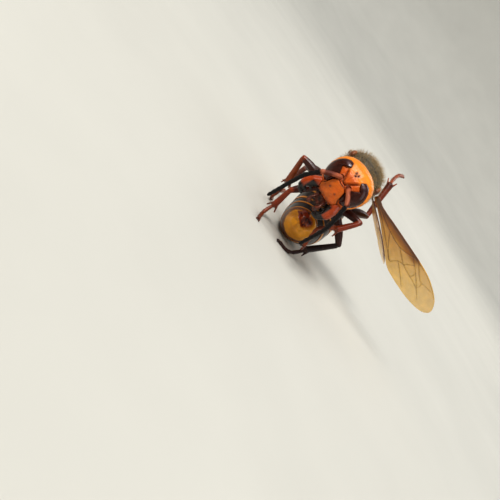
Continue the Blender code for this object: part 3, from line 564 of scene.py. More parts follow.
def shape_head(mesh):
    """Pushes the drawn forms out of the skin. Gives back the places on the face and the painted shade of the
    grooves and sockets, together with the dark round the simple eyes.
    """
    x, y, z = face_places(points_of(mesh)).T
    rise, shade_and_marks = shield_relief(x, z)
    reliefs = [socket_relief(np.hypot(x - fx, z - fz)) for fx, fz in FEELER_ROOTS]
    reliefs += [ocellus_relief(np.hypot(x - ox, z - oz), radius) for ox, oz, radius in OCELLI]
    for more_rise, more_shade_and_marks in reliefs:
        rise += more_rise
        shade_and_marks = np.maximum(shade_and_marks, more_shade_and_marks)
    rise += BROW_RISE * hill(np.abs(x), BROW_PLACE, BROW_WIDTH) * ramp(z, *BROW_START)
    front = ramp(-y, *FACE_EDGE)
    raise_points(mesh, rise * front)
    return x, y, z, shade_and_marks * front


print("relief of the face: a shield,", len(FEELER_ROOTS), "sockets and", len(OCELLI), "simple eyes")

# %% [markdown]
# The skin itself is the head's solid, melted fine enough to carry those forms. Its colour runs from red in
# the middle of the face to orange on crown and cheeks, and to brown at the back. The grooves of the shield
# and the feeler sockets get painted shade, each simple eye is ringed with dark, and the seam to the face
# plate is darkened wherever the skin comes near that other solid.

# %% Head skin
FACE_RED = (0.62, 0.110, 0.006)
CROWN_ORANGE = (0.86, 0.25, 0.009)
SHADE_AND_MARK_BROWN = (0.12, 0.014, 0.005)
REAR_BROWN = (0.06, 0.025, 0.012)
CROWN_HEIGHT, CHEEK_SIDE, TEMPLE_DEPTH = (1.6, 3.4), (4.0, 4.9), (-2.6, -1.0)
REAR_DEPTH, REAR_HEIGHT = (1.7, 2.5), (-6.0, -2.0)
PLATE_SEAM = 0.42
FULLY_NEAR, SEARCH, NOT_FOUND = 0.35, 1.5, 2


def search_tree(mesh):
    """A tree that quickly finds the nearest point of a mesh, or where a ray meets it."""
    work = bmesh.new()
    work.from_mesh(mesh)
    tree = BVHTree.FromBMesh(work)
    work.free()
    return tree


def nearness(points, node, reach):
    """1 for points that touch a solid, down to 0 for those farther away than reach."""
    tree = search_tree(node_mesh(node))
    away = np.array([tree.find_nearest(Vector(p), reach * SEARCH)[3] or reach * NOT_FOUND for p in points])
    return 1 - ramp(away, FULLY_NEAR * reach, reach)


def tint_head(mesh, marks):
    x, y, z, shade_and_marks = marks
    shade_and_marks = np.maximum(shade_and_marks, 0.8 * nearness(points_of(mesh), "clypeus", PLATE_SEAM))
    crown = np.maximum(ramp(z, *CROWN_HEIGHT), ramp(np.abs(x), *CHEEK_SIDE))
    colours = blend_colour(plain_colour(FACE_RED, len(x)), CROWN_ORANGE, crown)
    colours = blend_colour(colours, CROWN_ORANGE, 0.5 * ramp(y, *TEMPLE_DEPTH))
    # painted shade: the grooves of the shield and the feeler sockets are darkened, with the dark round each
    # simple eye and the seam to the face plate
    colours = blend_colour(colours, SHADE_AND_MARK_BROWN, 0.9 * shade_and_marks)
    paint(mesh, blend_colour(colours, REAR_BROWN, ramp(y, *REAR_DEPTH) * ramp(z, *REAR_HEIGHT)))


head_mesh = skin_mesh(["head"], grow=0.1, voxel=0.085, relax=5)
tint_head(head_mesh, shape_head(head_mesh))
dress("head_skin", head_mesh, FACE_SHELL, ["head"])

# %% [markdown]
# ## The face plate
# Below the feelers lies the clypeus, a broad plate with two small lobes at the mouth. It is its own solid,
# so it keeps a fine seam to the head. Its lower lip is darker, and where it turns away from the front it gets
# painted shade. Two small pits mark the ends of an inner ridge, with painted shade in their hollows.

# %% Face plate
PLATE_ORANGE = (0.56, 0.118, 0.006)
PLATE_SWELL, PLATE_MIDDLE, PLATE_REACH = 0.12, (0.0, -2.8), (1.6, 1.5)
PLATE_PITS = ((-1.0, -2.6), (0.95, -2.75))
PIT_HOLLOW, PIT_REACH, PIT_SHADE = 0.16, 0.17, 0.22
LIP_HEIGHT, PLATE_SHADE_FACING = (4.1, 4.7), (-0.75, -0.2)


def shape_plate(mesh):
    x, _, z = face_places(points_of(mesh)).T
    (middle_x, middle_z), (wide, high) = PLATE_MIDDLE, PLATE_REACH
    rise = PLATE_SWELL * hill(x, middle_x, wide) * hill(z, middle_z, high)
    facing = face_places(normals_of(mesh))[:, 1]
    # painted shade where the plate turns away from the front, with the darker lower lip
    lip_and_painted_shade = np.maximum(0.6 * ramp(-z, *LIP_HEIGHT), 0.85 * ramp(facing, *PLATE_SHADE_FACING))
    for pit_x, pit_z in PLATE_PITS:
        reach = np.hypot(x - pit_x, z - pit_z)
        rise -= PIT_HOLLOW * hill(reach, 0.0, PIT_REACH)
        # painted shade in the hollow of each pit
        lip_and_painted_shade = np.maximum(lip_and_painted_shade, hill(reach, 0.0, PIT_SHADE))
    raise_points(mesh, rise)
    blotches = ramp(flat_noise(points_of(mesh), scale=0.35, seed=3), 0.0, 1.0)
    colours = blend_colour(plain_colour(PLATE_ORANGE, len(x)), FACE_RED, 0.6 * blotches)
    paint(mesh, blend_colour(colours, SHADE_AND_MARK_BROWN, lip_and_painted_shade))


plate_mesh = skin_mesh(["clypeus"], grow=0.13, voxel=0.07, relax=4)
shape_plate(plate_mesh)
dress("face_plate", plate_mesh, FACE_SHELL, ["clypeus"])

# %% [markdown]
# ## The eyes
# Each compound eye is a dark C that bends round the root of a feeler. It is made of thousands of tiny
# lenses, so it mirrors the sky softly. Voronoi cells a sixteenth of a millimetre wide give that broken gloss,
# and a greyish sheen on the upper lobe is painted into the colour as a painted reflection.

# %% Eye surface
EYE_ROUGHNESS, EYE_COAT, EYE_COAT_ROUGHNESS, EYE_GLOSS = 0.14, 0.15, 0.08, 0.4
EYE_SPECKS, EYE_DARKEST, EYE_PALEST = 1.4, 0.7, 1.5
LENSES_PER_MM, LENS_BUMP, LENS_DEPTH = 16.0, 0.25, 0.000012

eye_gloss, eye_shader = new_material("eye_gloss", EYE_ROUGHNESS)
lacquer(eye_shader, EYE_COAT, EYE_COAT_ROUGHNESS)
eye_shader.inputs["Specular IOR Level"].default_value = EYE_GLOSS
eye_where = place_in_millimetres(eye_gloss)
eye_colour = speckled(eye_gloss, tint_socket(eye_gloss), eye_where, EYE_SPECKS, EYE_DARKEST, EYE_PALEST)
join(eye_gloss, eye_colour, eye_shader.inputs["Base Color"])
lenses = texture(eye_gloss, "ShaderNodeTexVoronoi", eye_where, feature="F1", Scale=LENSES_PER_MM)
bumped(eye_gloss, eye_shader, lenses.outputs["Distance"], LENS_BUMP, LENS_DEPTH)
print("eye material:", eye_gloss.name)

# %% [markdown]
# The solid eyes have flat facets, and smoothing alone would shrink them. So a smooth dome is fitted by
# least squares to the outer face of each eye, and its vertices move onto that dome. The back stays as it
# is.

# %% Compound eyes
EYE_BROWN = (0.042, 0.008, 0.004)
EYE_RIM_BROWN = (0.16, 0.030, 0.008)
# A painted reflection: a greyish sheen painted into the colour of each eye's upper lobe.
EYE_PAINTED_SHEEN = (0.20, 0.15, 0.16)
SHEEN_SPOT, SHEEN_SPOT_REACH = (2.85, 2.85), (0.55, 0.26)
EYE_RIM_DEPTH = (-2.2, -1.2)
EYE_LIFT = 0.10
DOME_DEGREE, DOME_FITTED, DOME_EDGE = 3, 0.6, (0.25, 0.7)


def powers(ways, degree):
    """All products of the three coordinates up to a degree, as the terms of a smooth fit."""
    a, b, c = ways.T
    exponents = [(i, j, k) for i in range(degree + 1) for j in range(degree + 1 - i)
                 for k in range(degree + 1 - i - j)]
    return np.stack([a**i * b**j * c**k for i, j, k in exponents], 1)


def round_out(mesh, lift):
    """Moves the outer face of a mesh onto one smooth dome, fitted to it as a reach in each direction."""
    points = points_of(mesh)
    reach = np.linalg.norm(points, axis=1)
    ways = points / reach[:, None]
    outward = np.sum(normals_of(mesh) * ways, axis=1)
    terms = powers(ways, DOME_DEGREE)
    outer = outward > DOME_FITTED
    weights = np.linalg.lstsq(terms[outer], reach[outer], rcond=None)[0]
    share = ramp(outward, *DOME_EDGE)
    set_points(mesh, ways * (reach * (1 - share) + (terms @ weights + lift) * share)[:, None])


def tint_eye(mesh):
    x, y, z = face_places(points_of(mesh)).T
    colours = blend_colour(plain_colour(EYE_BROWN, len(x)), EYE_RIM_BROWN, 0.5 * ramp(y, *EYE_RIM_DEPTH))
    # painted reflection: the greyish sheen on the upper lobe is painted into the colour
    painted_sheen = hill(np.abs(x), SHEEN_SPOT[0], SHEEN_SPOT_REACH[0]) * hill(z, SHEEN_SPOT[1], SHEEN_SPOT_REACH[1])
    paint(mesh, blend_colour(colours, EYE_PAINTED_SHEEN, 0.55 * painted_sheen))


for side in ("left", "right"):
    eye_mesh = skin_mesh([f"eye_{side}"], grow=0.2, voxel=0.07, relax=18)
    round_out(eye_mesh, EYE_LIFT)
    tint_eye(eye_mesh)
    dress(f"compound_eye_{side}", eye_mesh, eye_gloss, [f"eye_{side}"])

# %% [markdown]
# Three simple eyes, the ocelli, sit in a triangle on the crown as small dark domes. A ray from the front
# finds the skin at each place, and a small sphere is sunk into it there.

# %% Simple eyes
OCELLUS_BROWN = (0.07, 0.012, 0.006)
OCELLUS_SUNK = 0.3
DOME_RINGS, DOME_SIDES = 12, 16
IN_FRONT = -12.0


def dome_mesh(spots):
    """Small domes: each spot is a centre, an outward direction and a radius."""
    work = bmesh.new()
    for centre, out, radius in spots:
        turn = Vector(out).to_track_quat("Z", "Y").to_matrix().to_4x4()
        made = bmesh.ops.create_uvsphere(work, u_segments=DOME_SIDES, v_segments=DOME_RINGS, radius=radius)
        bmesh.ops.transform(work, matrix=Matrix.Translation(centre) @ turn, verts=made["verts"])
    return finished(work, "domes")


def on_skin(tree, x, z):
    """The point of a skin in front of which a place on the face lies, and the normal there."""
    turn = Matrix.Rotation(HEAD_YAW, 3, "Z")
    hit, normal, _, _ = tree.ray_cast(turn @ Vector((x, IN_FRONT, z)), turn @ Vector((0.0, 1.0, 0.0)))
    return hit, normal


coarse_head = search_tree(skin_mesh(["head"], grow=0.1, voxel=0.2, relax=2))
ocellus_spots = []
for x, z, radius in OCELLI:
    hit, normal = on_skin(coarse_head, x, z)
    ocellus_spots.append((hit - normal * radius * OCELLUS_SUNK, normal, radius))
ocelli_mesh = dome_mesh(ocellus_spots)
paint(ocelli_mesh, plain_colour(OCELLUS_BROWN, len(ocelli_mesh.vertices)))
dress("simple_eyes", ocelli_mesh, eye_gloss)

# %% [markdown]
# ## Jaws, mouth and feelers
# The jaws are orange-red on their outer faces and black along the biting edge and the teeth, where they
# are hardest. Their faces that turn backward get painted shade. Long fine scratches on the red come from a
# wave that a noise bends.

# %% Jaws
JAW_RED = (0.40, 0.060, 0.009)
JAW_SCRATCH = (0.30, 0.035, 0.008)
JAW_BLACK = (0.012, 0.008, 0.007)
JAW_TIP, JAW_EDGE, JAW_EDGE_START, JAW_BACK_SHADE = (6.6, 7.5), (-0.1, 0.35), (4.2, 5.0), (0.0, 0.5)
# Which way is outward on each side, and how far from the middle the black edge begins.
JAW_SIDES = {"left": (1, 3.15), "right": (-1, 4.2)}
JAW_SHELL = shell("jaw_shell", 0.26, coat=0.35, pits=0.3, pit_scale=5.0, variation=0.2, gloss=0.4)


def tint_jaw(mesh, side):
    outward, edge = JAW_SIDES[side]
    points = points_of(mesh)
    x, _, z = face_places(points).T
    x = x * outward
    black = ramp(-z + 0.3 * flat_noise(points, scale=0.5, seed=6), *JAW_TIP)
    black = np.maximum(black, ramp(edge - x, *JAW_EDGE) * ramp(-z, *JAW_EDGE_START))
    # painted shade on the faces that turn backward
    black = np.maximum(black, 0.8 * ramp(face_places(normals_of(mesh))[:, 1], *JAW_BACK_SHADE))
    scratches = np.abs(np.sin(x * 9.0 + z * 1.5 + flat_noise(points, scale=0.8, seed=5)))
    colours = blend_colour(plain_colour(JAW_RED, len(x)), JAW_SCRATCH, 0.35 * scratches)
    paint(mesh, blend_colour(colours, JAW_BLACK, black))


for side in JAW_SIDES:
    jaw_mesh = skin_mesh([f"mandible_{side}"], grow=0.10, voxel=0.06, relax=12)
    tint_jaw(jaw_mesh, side)
    dress(f"jaw_{side}", jaw_mesh, JAW_SHELL, [f"mandible_{side}"])

# %% [markdown]
# The mouthparts under the face plate are soft, dark and lumpy. A slow noise raises and stains their skin,
# which gives more life than flaps drawn one by one.

# %% Mouth
MOUTH_BROWN = (0.17, 0.034, 0.013)
MOUTH_DARK = (0.03, 0.008, 0.005)
MOUTH_SKIN = shell("mouth_skin", 0.45, coat=0.2, pits=0.6, pit_scale=6.0, variation=0.25)
MOUTH_LIFT, MOUTH_LUMPS = 0.05, 0.15

mouth_mesh = skin_mesh(["mouthparts"], grow=0.1, voxel=0.08, relax=4)
raise_points(mouth_mesh, MOUTH_LIFT + MOUTH_LUMPS * flat_noise(points_of(mouth_mesh), scale=0.8, seed=7))
mouth_shade = ramp(flat_noise(points_of(mouth_mesh), scale=0.5, seed=9), 0.0, 0.9)
paint(mouth_mesh, blend_colour(plain_colour(MOUTH_BROWN, len(mouth_shade)), MOUTH_DARK, mouth_shade))
dress("mouth_mass", mouth_mesh, MOUTH_SKIN, ["mouthparts"])

# %% [markdown]
# A feeler has a stout pinkish first joint and a long black whip of many short ones. Those are too small
# for solids, so a fine ring groove is cut into the whip between each two joints.

# %% Feelers
SCAPE_PINK = (0.40, 0.115, 0.055)
SCAPE_BROWN = (0.12, 0.025, 0.012)
WHIP_BLACK = (0.006, 0.004, 0.004)
WHIP_JOINTS, NOTCH_DEPTH, NOTCH_WIDTH = 11, 0.07, 0.1
FEELER_SKIN = shell("feeler_skin", 0.45, coat=0.05, pits=0.3, pit_scale=9.0, variation=0.18, gloss=0.25)


def notch_whip(mesh):
    """Cuts a fine ring groove into the whip between each two of its joints."""
    height = points_of(mesh)[:, 2]
    drop = height.max() - height
    from_border = 0.5 - np.abs(drop / drop.max() * WHIP_JOINTS % 1.0 - 0.5)
    raise_points(mesh, -NOTCH_DEPTH * hill(from_border, 0.0, NOTCH_WIDTH))


for side in ("left", "right"):
    scape_mesh = skin_mesh([f"scape_{side}"], grow=0.12, voxel=0.06, relax=4)
    scape_shade = ramp(flat_noise(points_of(scape_mesh), scale=0.3, seed=11), 0.1, 0.9)
    paint(scape_mesh, blend_colour(plain_colour(SCAPE_PINK, len(scape_shade)), SCAPE_BROWN, scape_shade))
    dress(f"feeler_base_{side}", scape_mesh, FEELER_SKIN, [f"scape_{side}"])
    whip_mesh = skin_mesh([f"flagellum_{side}"], grow=0.10, voxel=0.055, relax=2)
    notch_whip(whip_mesh)
    paint(whip_mesh, plain_colour(WHIP_BLACK, len(whip_mesh.vertices)))
    dress(f"feeler_whip_{side}", whip_mesh, FEELER_SKIN, [f"flagellum_{side}"])

# %% [markdown]
# ## The thorax
# Collar, shield, scutellum and rear slope are one stiff box of plates. They are swelled until they touch
# and melted together, and shallow grooves are cut where plates meet. The box is dull olive brown under its
# fur.

# %% Thorax skin
OLIVE_BROWN = (0.085, 0.068, 0.038)
WARM_BROWN = (0.10, 0.068, 0.030)
SEAM_BLACK = (0.010, 0.007, 0.005)
THORAX_NODES = ["neck", "pronotum", "scutum", "scutellum", "propodeum"]
COLLAR_END, COLLAR_BOW, COLLAR_HALF = 6.6, 1.6, 4.7
PLATE_JOINTS = (11.6, 13.4)
SEAM_WIDTH, SEAM_DEPTH = 0.16, 0.10
SIDE_LINE, SIDE_LINE_SLANT, SIDE_LINE_MIDDLE, SIDE_LINE_WIDTH = 1.7, 0.12, 9.0, 0.10
SIDE_LINE_SPAN = (8.4, 9.2, 10.8, 11.4)
KEEL_WIDTH, KEEL_SPAN, LINE_DEPTH = 0.09, (7.0, 7.6, 10.0, 10.8), 0.06
TOP_FACING = (0.3, 0.7)


def behind_collar(x, y):
    """How far each place lies behind the bowed rear edge of the collar."""
    return y - (COLLAR_END + COLLAR_BOW * (x / COLLAR_HALF) ** 2)


def shape_thorax(mesh):
    points = points_of(mesh)
    x, y, _ = points.T
    seam = hill(behind_collar(x, y), 0.0, SEAM_WIDTH)
    for joint in PLATE_JOINTS:
        seam = np.maximum(seam, 0.8 * hill(y, joint, SEAM_WIDTH))
    slant = SIDE_LINE_SLANT * (y - SIDE_LINE_MIDDLE)
    line = hill(np.abs(x) - SIDE_LINE - slant, 0.0, SIDE_LINE_WIDTH) * plateau(y, *SIDE_LINE_SPAN)
    keel = hill(x, 0.0, KEEL_WIDTH) * plateau(y, *KEEL_SPAN)
    top = ramp(normals_of(mesh)[:, 2], *TOP_FACING)
    rough = 0.03 * flat_noise(points, scale=0.5, seed=13)
    raise_points(mesh, -SEAM_DEPTH * seam - LINE_DEPTH * np.maximum(line, keel) * top + rough)
    patches = ramp(flat_noise(points_of(mesh), scale=0.25, seed=15), 0.0, 0.9)
    colours = blend_colour(plain_colour(OLIVE_BROWN, len(x)), WARM_BROWN, 0.5 * patches)
    paint(mesh, blend_colour(colours, SEAM_BLACK, 0.8 * seam))


thorax_mesh = skin_mesh(THORAX_NODES, grow=0.13, voxel=0.12, relax=5)
shape_thorax(thorax_mesh)
dress("thorax_skin", thorax_mesh, THORAX_SHELL, THORAX_NODES)

# %% [markdown]
# A small scale, the tegula, covers the root of each pair of wings. It is brown, and paler on top.

# %% Wing-root plates
COVER_BROWN = (0.13, 0.035, 0.012)
COVER_ORANGE = (0.30, 0.10, 0.03)
COVER_TOP = (3.2, 4.4)

for side in ("left", "right"):
    cover_mesh = skin_mesh([f"tegula_{side}"], grow=0.08, voxel=0.07, relax=4)
    cover_top = ramp(points_of(cover_mesh)[:, 2], *COVER_TOP)
    paint(cover_mesh, blend_colour(plain_colour(COVER_BROWN, len(cover_top)), COVER_ORANGE, cover_top))
    dress(f"wing_cover_{side}", cover_mesh, LEG_SHELL, [f"tegula_{side}"])

# %% [markdown]
# ## The curled gaster
# The rear body is a chain of rings that slide into one another like a telescope. A melted skin would lose
# their crisp lips, so this form is drawn directly: a curve that starts behind the waist, swings forward
# under the thorax and lifts its tip, with one shell of circles per ring. Each shell runs a little way over
# the next one.

# %% Gaster curve
WAIST = (0.0, 16.5, -1.7)
CURL_START = math.radians(60)
CURL_RADIUS = 8.8
CURL_LENGTH = CURL_RADIUS * (math.pi - CURL_START)
TIP_LIFT = math.radians(22)
TIP_ROLL = math.radians(32)
RING_ENDS = [0.9, 4.0, 8.3, 12.3, 16.0, 19.4, 22.6]
GASTER_LENGTH = RING_ENDS[-1]
SIDE_SHIFT = [(0.0, 0.0), (4.0, 0.3), (9.0, 1.3), (14.0, 2.1), (18.5, 1.9), (22.6, 1.4)]
CURVE_STEPS = 120
SLOPE_REACH = 0.1


def read_curve(keys, at):
    """A smooth curve through keys of (place, value), read at one place."""
    places = [key[0] for key in keys]
    values = [key[1] for key in keys]
    at = min(max(at, places[0]), places[-1])
    i = min(max(int(np.searchsorted(places, at, "right")) - 1, 0), len(keys) - 2)
    before, after = max(i - 1, 0), min(i + 2, len(keys) - 1)
    width = places[i + 1] - places[i]
    slope_a = (values[i + 1] - values[before]) / max(places[i + 1] - places[before], TINY) * width
    slope_b = (values[after] - values[i]) / max(places[after] - places[i], TINY) * width
    t = (at - places[i]) / width
    return ((2 * t**3 - 3 * t**2 + 1) * values[i] + (t**3 - 2 * t**2 + t) * slope_a
            + (3 * t**2 - 2 * t**3) * values[i + 1] + (t**3 - t**2) * slope_b)


def heading(at):
    """The angle at which the gaster runs at a distance behind the waist."""
    if at <= CURL_LENGTH:
        return CURL_START + (math.pi - CURL_START) * max(at, 0.0) / CURL_LENGTH
    return math.pi + TIP_LIFT * (at - CURL_LENGTH) / (GASTER_LENGTH - CURL_LENGTH)


def gaster_middle(s):
    """The centre of the gaster at a distance s behind the waist, summed up in small steps."""
    centre = np.array(WAIST, float)
    for i in range(CURVE_STEPS):
        angle = heading(s * (i + 0.5) / CURVE_STEPS)
        centre += np.array((0.0, math.cos(angle), -math.sin(angle))) * s / CURVE_STEPS
    centre[0] += read_curve(SIDE_SHIFT, s)
    return centre


def gaster_axes(s):
    """The rearward direction, the side and the back of the gaster at a distance s behind the waist."""
    angle = heading(s)
    drift = read_curve(SIDE_SHIFT, s + SLOPE_REACH) - read_curve(SIDE_SHIFT, s - SLOPE_REACH)
    along = np.array((drift / (2 * SLOPE_REACH), math.cos(angle), -math.sin(angle)))
    along /= np.linalg.norm(along)
    side = np.cross((0.0, math.sin(angle), math.cos(angle)), along)
    side /= np.linalg.norm(side)
    back = np.cross(along, side)
    roll = TIP_ROLL * max(s, 0.0) / GASTER_LENGTH
    return (along, side * math.cos(roll) + back * math.sin(roll),
            back * math.cos(roll) - side * math.sin(roll))


print("the gaster's curve is", GASTER_LENGTH, "mm long")

# %% [markdown]
# The bands follow the rings: each is black-brown in front and orange-yellow at its rear rim, with a wavy
# border. The last ring is golden orange behind a dark front zone with a red-brown edge. Because every
# point knows how far along its ring it lies and how far round, the pattern is a short formula.

# %% Markings of the gaster
BAND_DARK = (0.016, 0.008, 0.006)
BAND_GOLD = (0.66, 0.24, 0.016)
TIP_GOLD = (0.78, 0.32, 0.008)
TIP_BROWN = (0.085, 0.018, 0.008)
RIM_RED = (0.26, 0.055, 0.012)
RINGS = len(RING_ENDS) - 1
LAST = RINGS - 1
BAND_STARTS = [0.72, 0.66, 0.7, 0.74, 0.78]
BELLY, BELLY_DELAY = -0.2, 0.12
BAND_BORDER, RIM_PLACE, RIM_BORDER, RIM_SHARE = 0.05, 0.965, 0.03, 0.6
# Down the last ring: each zone's end, its colour and how much of it covers the gold.
TIP_ZONES = ((0.22, BAND_DARK, 0.95), (0.42, TIP_BROWN, 0.95), (0.45, RIM_RED, 0.7), (0.48, BAND_DARK, 0.9))
TIP_WEAR = 0.35


def mixed(one, other, share):
    return [a * (1 - share) + b * share for a, b in zip(one, other)]


def tip_colour(share, turn):
    """The last ring is gold, with a dark angular zone in front and a worn reddish rim."""
    border = share + 0.015 * math.sin(6 * turn) - 0.24 * math.cos(turn)
    for end, colour, cover in TIP_ZONES:
        if border < end:
            return mixed(TIP_GOLD, colour, cover)
    return mixed(TIP_GOLD, RIM_RED, TIP_WEAR * max(0.0, math.sin(turn * 3 + share * 4)) * share)


def band_colour(index, share, turn):
    """The colour of a ring at a share along it and a turn round it. A quarter turn is its back."""
    if index == LAST:
        return tip_colour(share, turn)
    start = BAND_STARTS[index] + 0.05 * math.cos(2 * turn) + 0.025 * math.sin(5 * turn + index)
    if math.sin(turn) < BELLY:
        start += BELLY_DELAY
    gold = min(max((share - start) / BAND_BORDER, 0.0), 1.0)
    rim = min(max((share - RIM_PLACE) / RIM_BORDER, 0.0), 1.0)
    return mixed(mixed(BAND_DARK, BAND_GOLD, gold), RIM_RED, RIM_SHARE * rim)


print("rings with bands:", RINGS)

# %% [markdown]
# A ring is a tube of slightly squared circles. Its radius follows a smooth curve from front to rear, its
# rear edge rolls in to a lip, and a groove runs along each side of the belly.

# %% Shape of a ring
RING_RADII = [(1.3, 4.9), (4.85, 5.6), (5.6, 5.65), (5.6, 5.25), (5.15, 4.2), (4.05, 1.8)]
FIRST_RING = [(0.0, 1.3), (0.14, 2.3), (0.36, 3.5), (0.62, 4.4), (0.9, 4.9), (1.0, 4.9)]
LAST_RING = [(0.0, 3.85), (0.2, 4.0), (0.5, 3.55), (0.78, 2.8), (0.94, 2.1), (1.0, 1.75)]
RING_SIDES, RING_STEPS = 112, 26
FLATNESS, SQUARENESS = 0.93, 2 / 2.1
OVERLAP = 0.28
# How the lip turns in at a ring's rear edge: along, in, and then a share of the radius.
LIP_ROLL = ((0.03, 0.07, 1.0), (-0.05, 0.16, 1.0), (-0.4, 0.0, 0.6))
TIP_CAP_STEPS, TIP_CAP_DEPTH = 7, 0.35
SEAM_DEGREES, SEAM_SPREAD, SIDE_SEAM_DEPTH = 62, 3.0, 0.10


def ring_radius(index, share):
    if index == 0:
        return read_curve(FIRST_RING, share)
    if index == LAST:
        return read_curve(LAST_RING, share)
    front, rear = RING_RADII[index]
    return read_curve([(0.0, front * 0.955), (0.12, front * 0.985), (0.5, (front + rear) / 2 * 1.015),
                       (0.93, rear), (1.0, rear * 0.995)], share)


def ring_rows(index):
    """The circles of a ring, each as its distance behind the waist, its radius and its share along."""
    start, end = RING_ENDS[index], RING_ENDS[index + 1]
    length = end - start + (OVERLAP if index < LAST else 0.0)
    rows = [(start - 0.1 if index else start, ring_radius(index, 0.0) * 0.6, 0.0)]
    for i in range(RING_STEPS + 1):
        share = i / RING_STEPS
        rows.append((start + length * share, ring_radius(index, share), share))
    rim, radius, _ = rows[-1]
    if index < LAST:
        return rows + [(rim + along, (radius - inward) * part, 1.0) for along, inward, part in LIP_ROLL]
    bends = [math.pi / 2 * i / TIP_CAP_STEPS for i in range(1, TIP_CAP_STEPS)]
    return rows + [(rim + TIP_CAP_DEPTH * math.sin(bend), radius * math.cos(bend), 1.0) for bend in bends]


def side_seam(index, turn):
    """The groove where a ring's upper plate meets its lower plate, on each side of the belly."""
    if not 0 < index < LAST:
        return 0.0
    return SIDE_SEAM_DEPTH * hill(abs(math.degrees(turn) - 270), SEAM_DEGREES, SEAM_SPREAD)


def squared(value):
    """Makes a circle a little square when it is used on its cosine and sine."""
    return math.copysign(abs(value) ** SQUARENESS, value)


def ring_shell(index):
    """One ring as a closed shell, with the colour of each of its points."""
    turns = [2 * math.pi * i / RING_SIDES for i in range(RING_SIDES)]
    points, colours, faces = [], [], []
    rows = ring_rows(index)
    for s, radius, share in rows:
        centre = gaster_middle(s)
        _, side, back = gaster_axes(s)
        for turn in turns:
            size = radius - side_seam(index, turn)
            points.append(centre + side * size * squared(math.cos(turn))
                          + back * size * FLATNESS * squared(math.sin(turn)))
            colours.append(band_colour(index, share, turn))
    for first in range(0, (len(rows) - 1) * RING_SIDES, RING_SIDES):
        for i in range(RING_SIDES):
            j = (i + 1) % RING_SIDES
            faces.append((first + j, first + i, first + RING_SIDES + i, first + RING_SIDES + j))
    faces.append(tuple(range(RING_SIDES)))
    faces.append(tuple(range(len(points) - RING_SIDES, len(points)))[::-1])
    return points, colours, faces


def mesh_from(points, faces):
    """A mesh whose faces all look outward, with its larger faces cut into triangles."""
    mesh = bpy.data.meshes.new("drawn")
    mesh.from_pydata([tuple(p) for p in points], [], faces)
    work = bmesh.new()
    work.from_mesh(mesh)
    bmesh.ops.recalc_face_normals(work, faces=work.faces)
    bmesh.ops.triangulate(work, faces=[f for f in work.faces if len(f.verts) > 4])
    work.to_mesh(mesh)
    work.free()
    return mesh


print("a ring has", RING_SIDES, "points round it")

# %% [markdown]
# The last ring sinks round the sting chamber, and above it a ragged wedge opens in which the reddish inner
# skin shows, with painted shade in its hollows. The rings are the lowest part of the hornet, so what would
# sink under the floor is flattened.

# %% Gaster skin
OPENING_UP = np.array((-0.843, 0.0, 0.539))
OPENING_ACROSS = np.array((0.539, 0.0, 0.843))
OPENING_RED = (0.30, 0.040, 0.009)
OPENING_HOLLOW_SHADE = (0.05, 0.008, 0.005)
CHAMBER_SINK, CHAMBER_WIDTH, CHAMBER_STAIN = 0.35, 1.5, (1.5, 2.2)
CHAMBER_RIM, CHAMBER_RIM_WIDTH, CHAMBER_RIM_RISE = 2.15, 0.3, 0.22
WEDGE_HALF, WEDGE_SPREAD, WEDGE_RAGGED = 0.75, 0.28, 0.25
WEDGE_EDGE, WEDGE_SPAN = (-0.1, 0.15), (-1.2, -0.7, 2.3, 2.9)
WEDGE_LUMPS, WEDGE_DEPTH = 0.10, 0.16
FLOOR_LEVEL = -HEAD_HEIGHT + 0.005


def rest_on_floor(mesh):
    """Flattens what would sink under the floor."""
    points = points_of(mesh)
    points[:, 2] = np.maximum(points[:, 2], FLOOR_LEVEL)
    set_points(mesh, points)


def open_the_tip(mesh, colours):
    """Sinks the last ring round the sting chamber, cuts and reddens the wedge above it, and paints shade into
    the wedge's hollows.
    """
    middle = np.array((box_middle("sting_chamber") - HEAD_CENTRE) / MM)
    points = points_of(mesh)
    away = np.linalg.norm(points - middle, axis=1)
    rim = CHAMBER_RIM_RISE * hill(away, CHAMBER_RIM, CHAMBER_RIM_WIDTH)
    points -= normals_of(mesh) * (CHAMBER_SINK * hill(away, 0.0, CHAMBER_WIDTH) - rim)[:, None]
    up, across = (points - middle) @ OPENING_UP, np.abs((points - middle) @ OPENING_ACROSS)
    rough = flat_noise(points, scale=0.7, seed=21)
    half = WEDGE_HALF + WEDGE_SPREAD * up
    wedge = ramp(half - across + WEDGE_RAGGED * rough, *WEDGE_EDGE) * plateau(up, *WEDGE_SPAN)
    points += normals_of(mesh) * (wedge * (WEDGE_LUMPS * rough - WEDGE_DEPTH))[:, None]
    set_points(mesh, points)
    red = np.maximum(wedge, 0.8 * (1 - ramp(away, *CHAMBER_STAIN)))
    # painted shade in the sunken hollows of the wedge
    return blend_colour(blend_colour(colours, OPENING_RED, red), OPENING_HOLLOW_SHADE, wedge * ramp(-rough, 0.1, 0.8))


for index in range(RINGS):
    ring_points, ring_colours, ring_faces = ring_shell(index)
    ring_mesh = mesh_from(ring_points, ring_faces)
    rest_on_floor(ring_mesh)
    ring_colours = np.array(ring_colours)
    if index == LAST:
        ring_colours = open_the_tip(ring_mesh, ring_colours)
    paint(ring_mesh, ring_colours)
    dress(f"ring_{index + 1}", ring_mesh, GASTER_SHELL, [f"gaster_{index + 1}"])

# %% [markdown]
# ## Waist and tip
# A thin dark stalk joins the thorax to the first ring. At the tip the last ring opens on a rough reddish
# chamber that holds the sting. Both are small skins, and the chamber is lumpy by the same slow noise as
# the mouth. Its hollows get painted shade and the peaks of its lumps painted light.

# %% Waist and sting chamber
STING_RED = (0.16, 0.028, 0.010)
STING_HOLLOW_SHADE = (0.03, 0.008, 0.006)
STING_PEAK_LIGHT = (0.5, 0.12, 0.02)
STING_LUMPS = 0.11

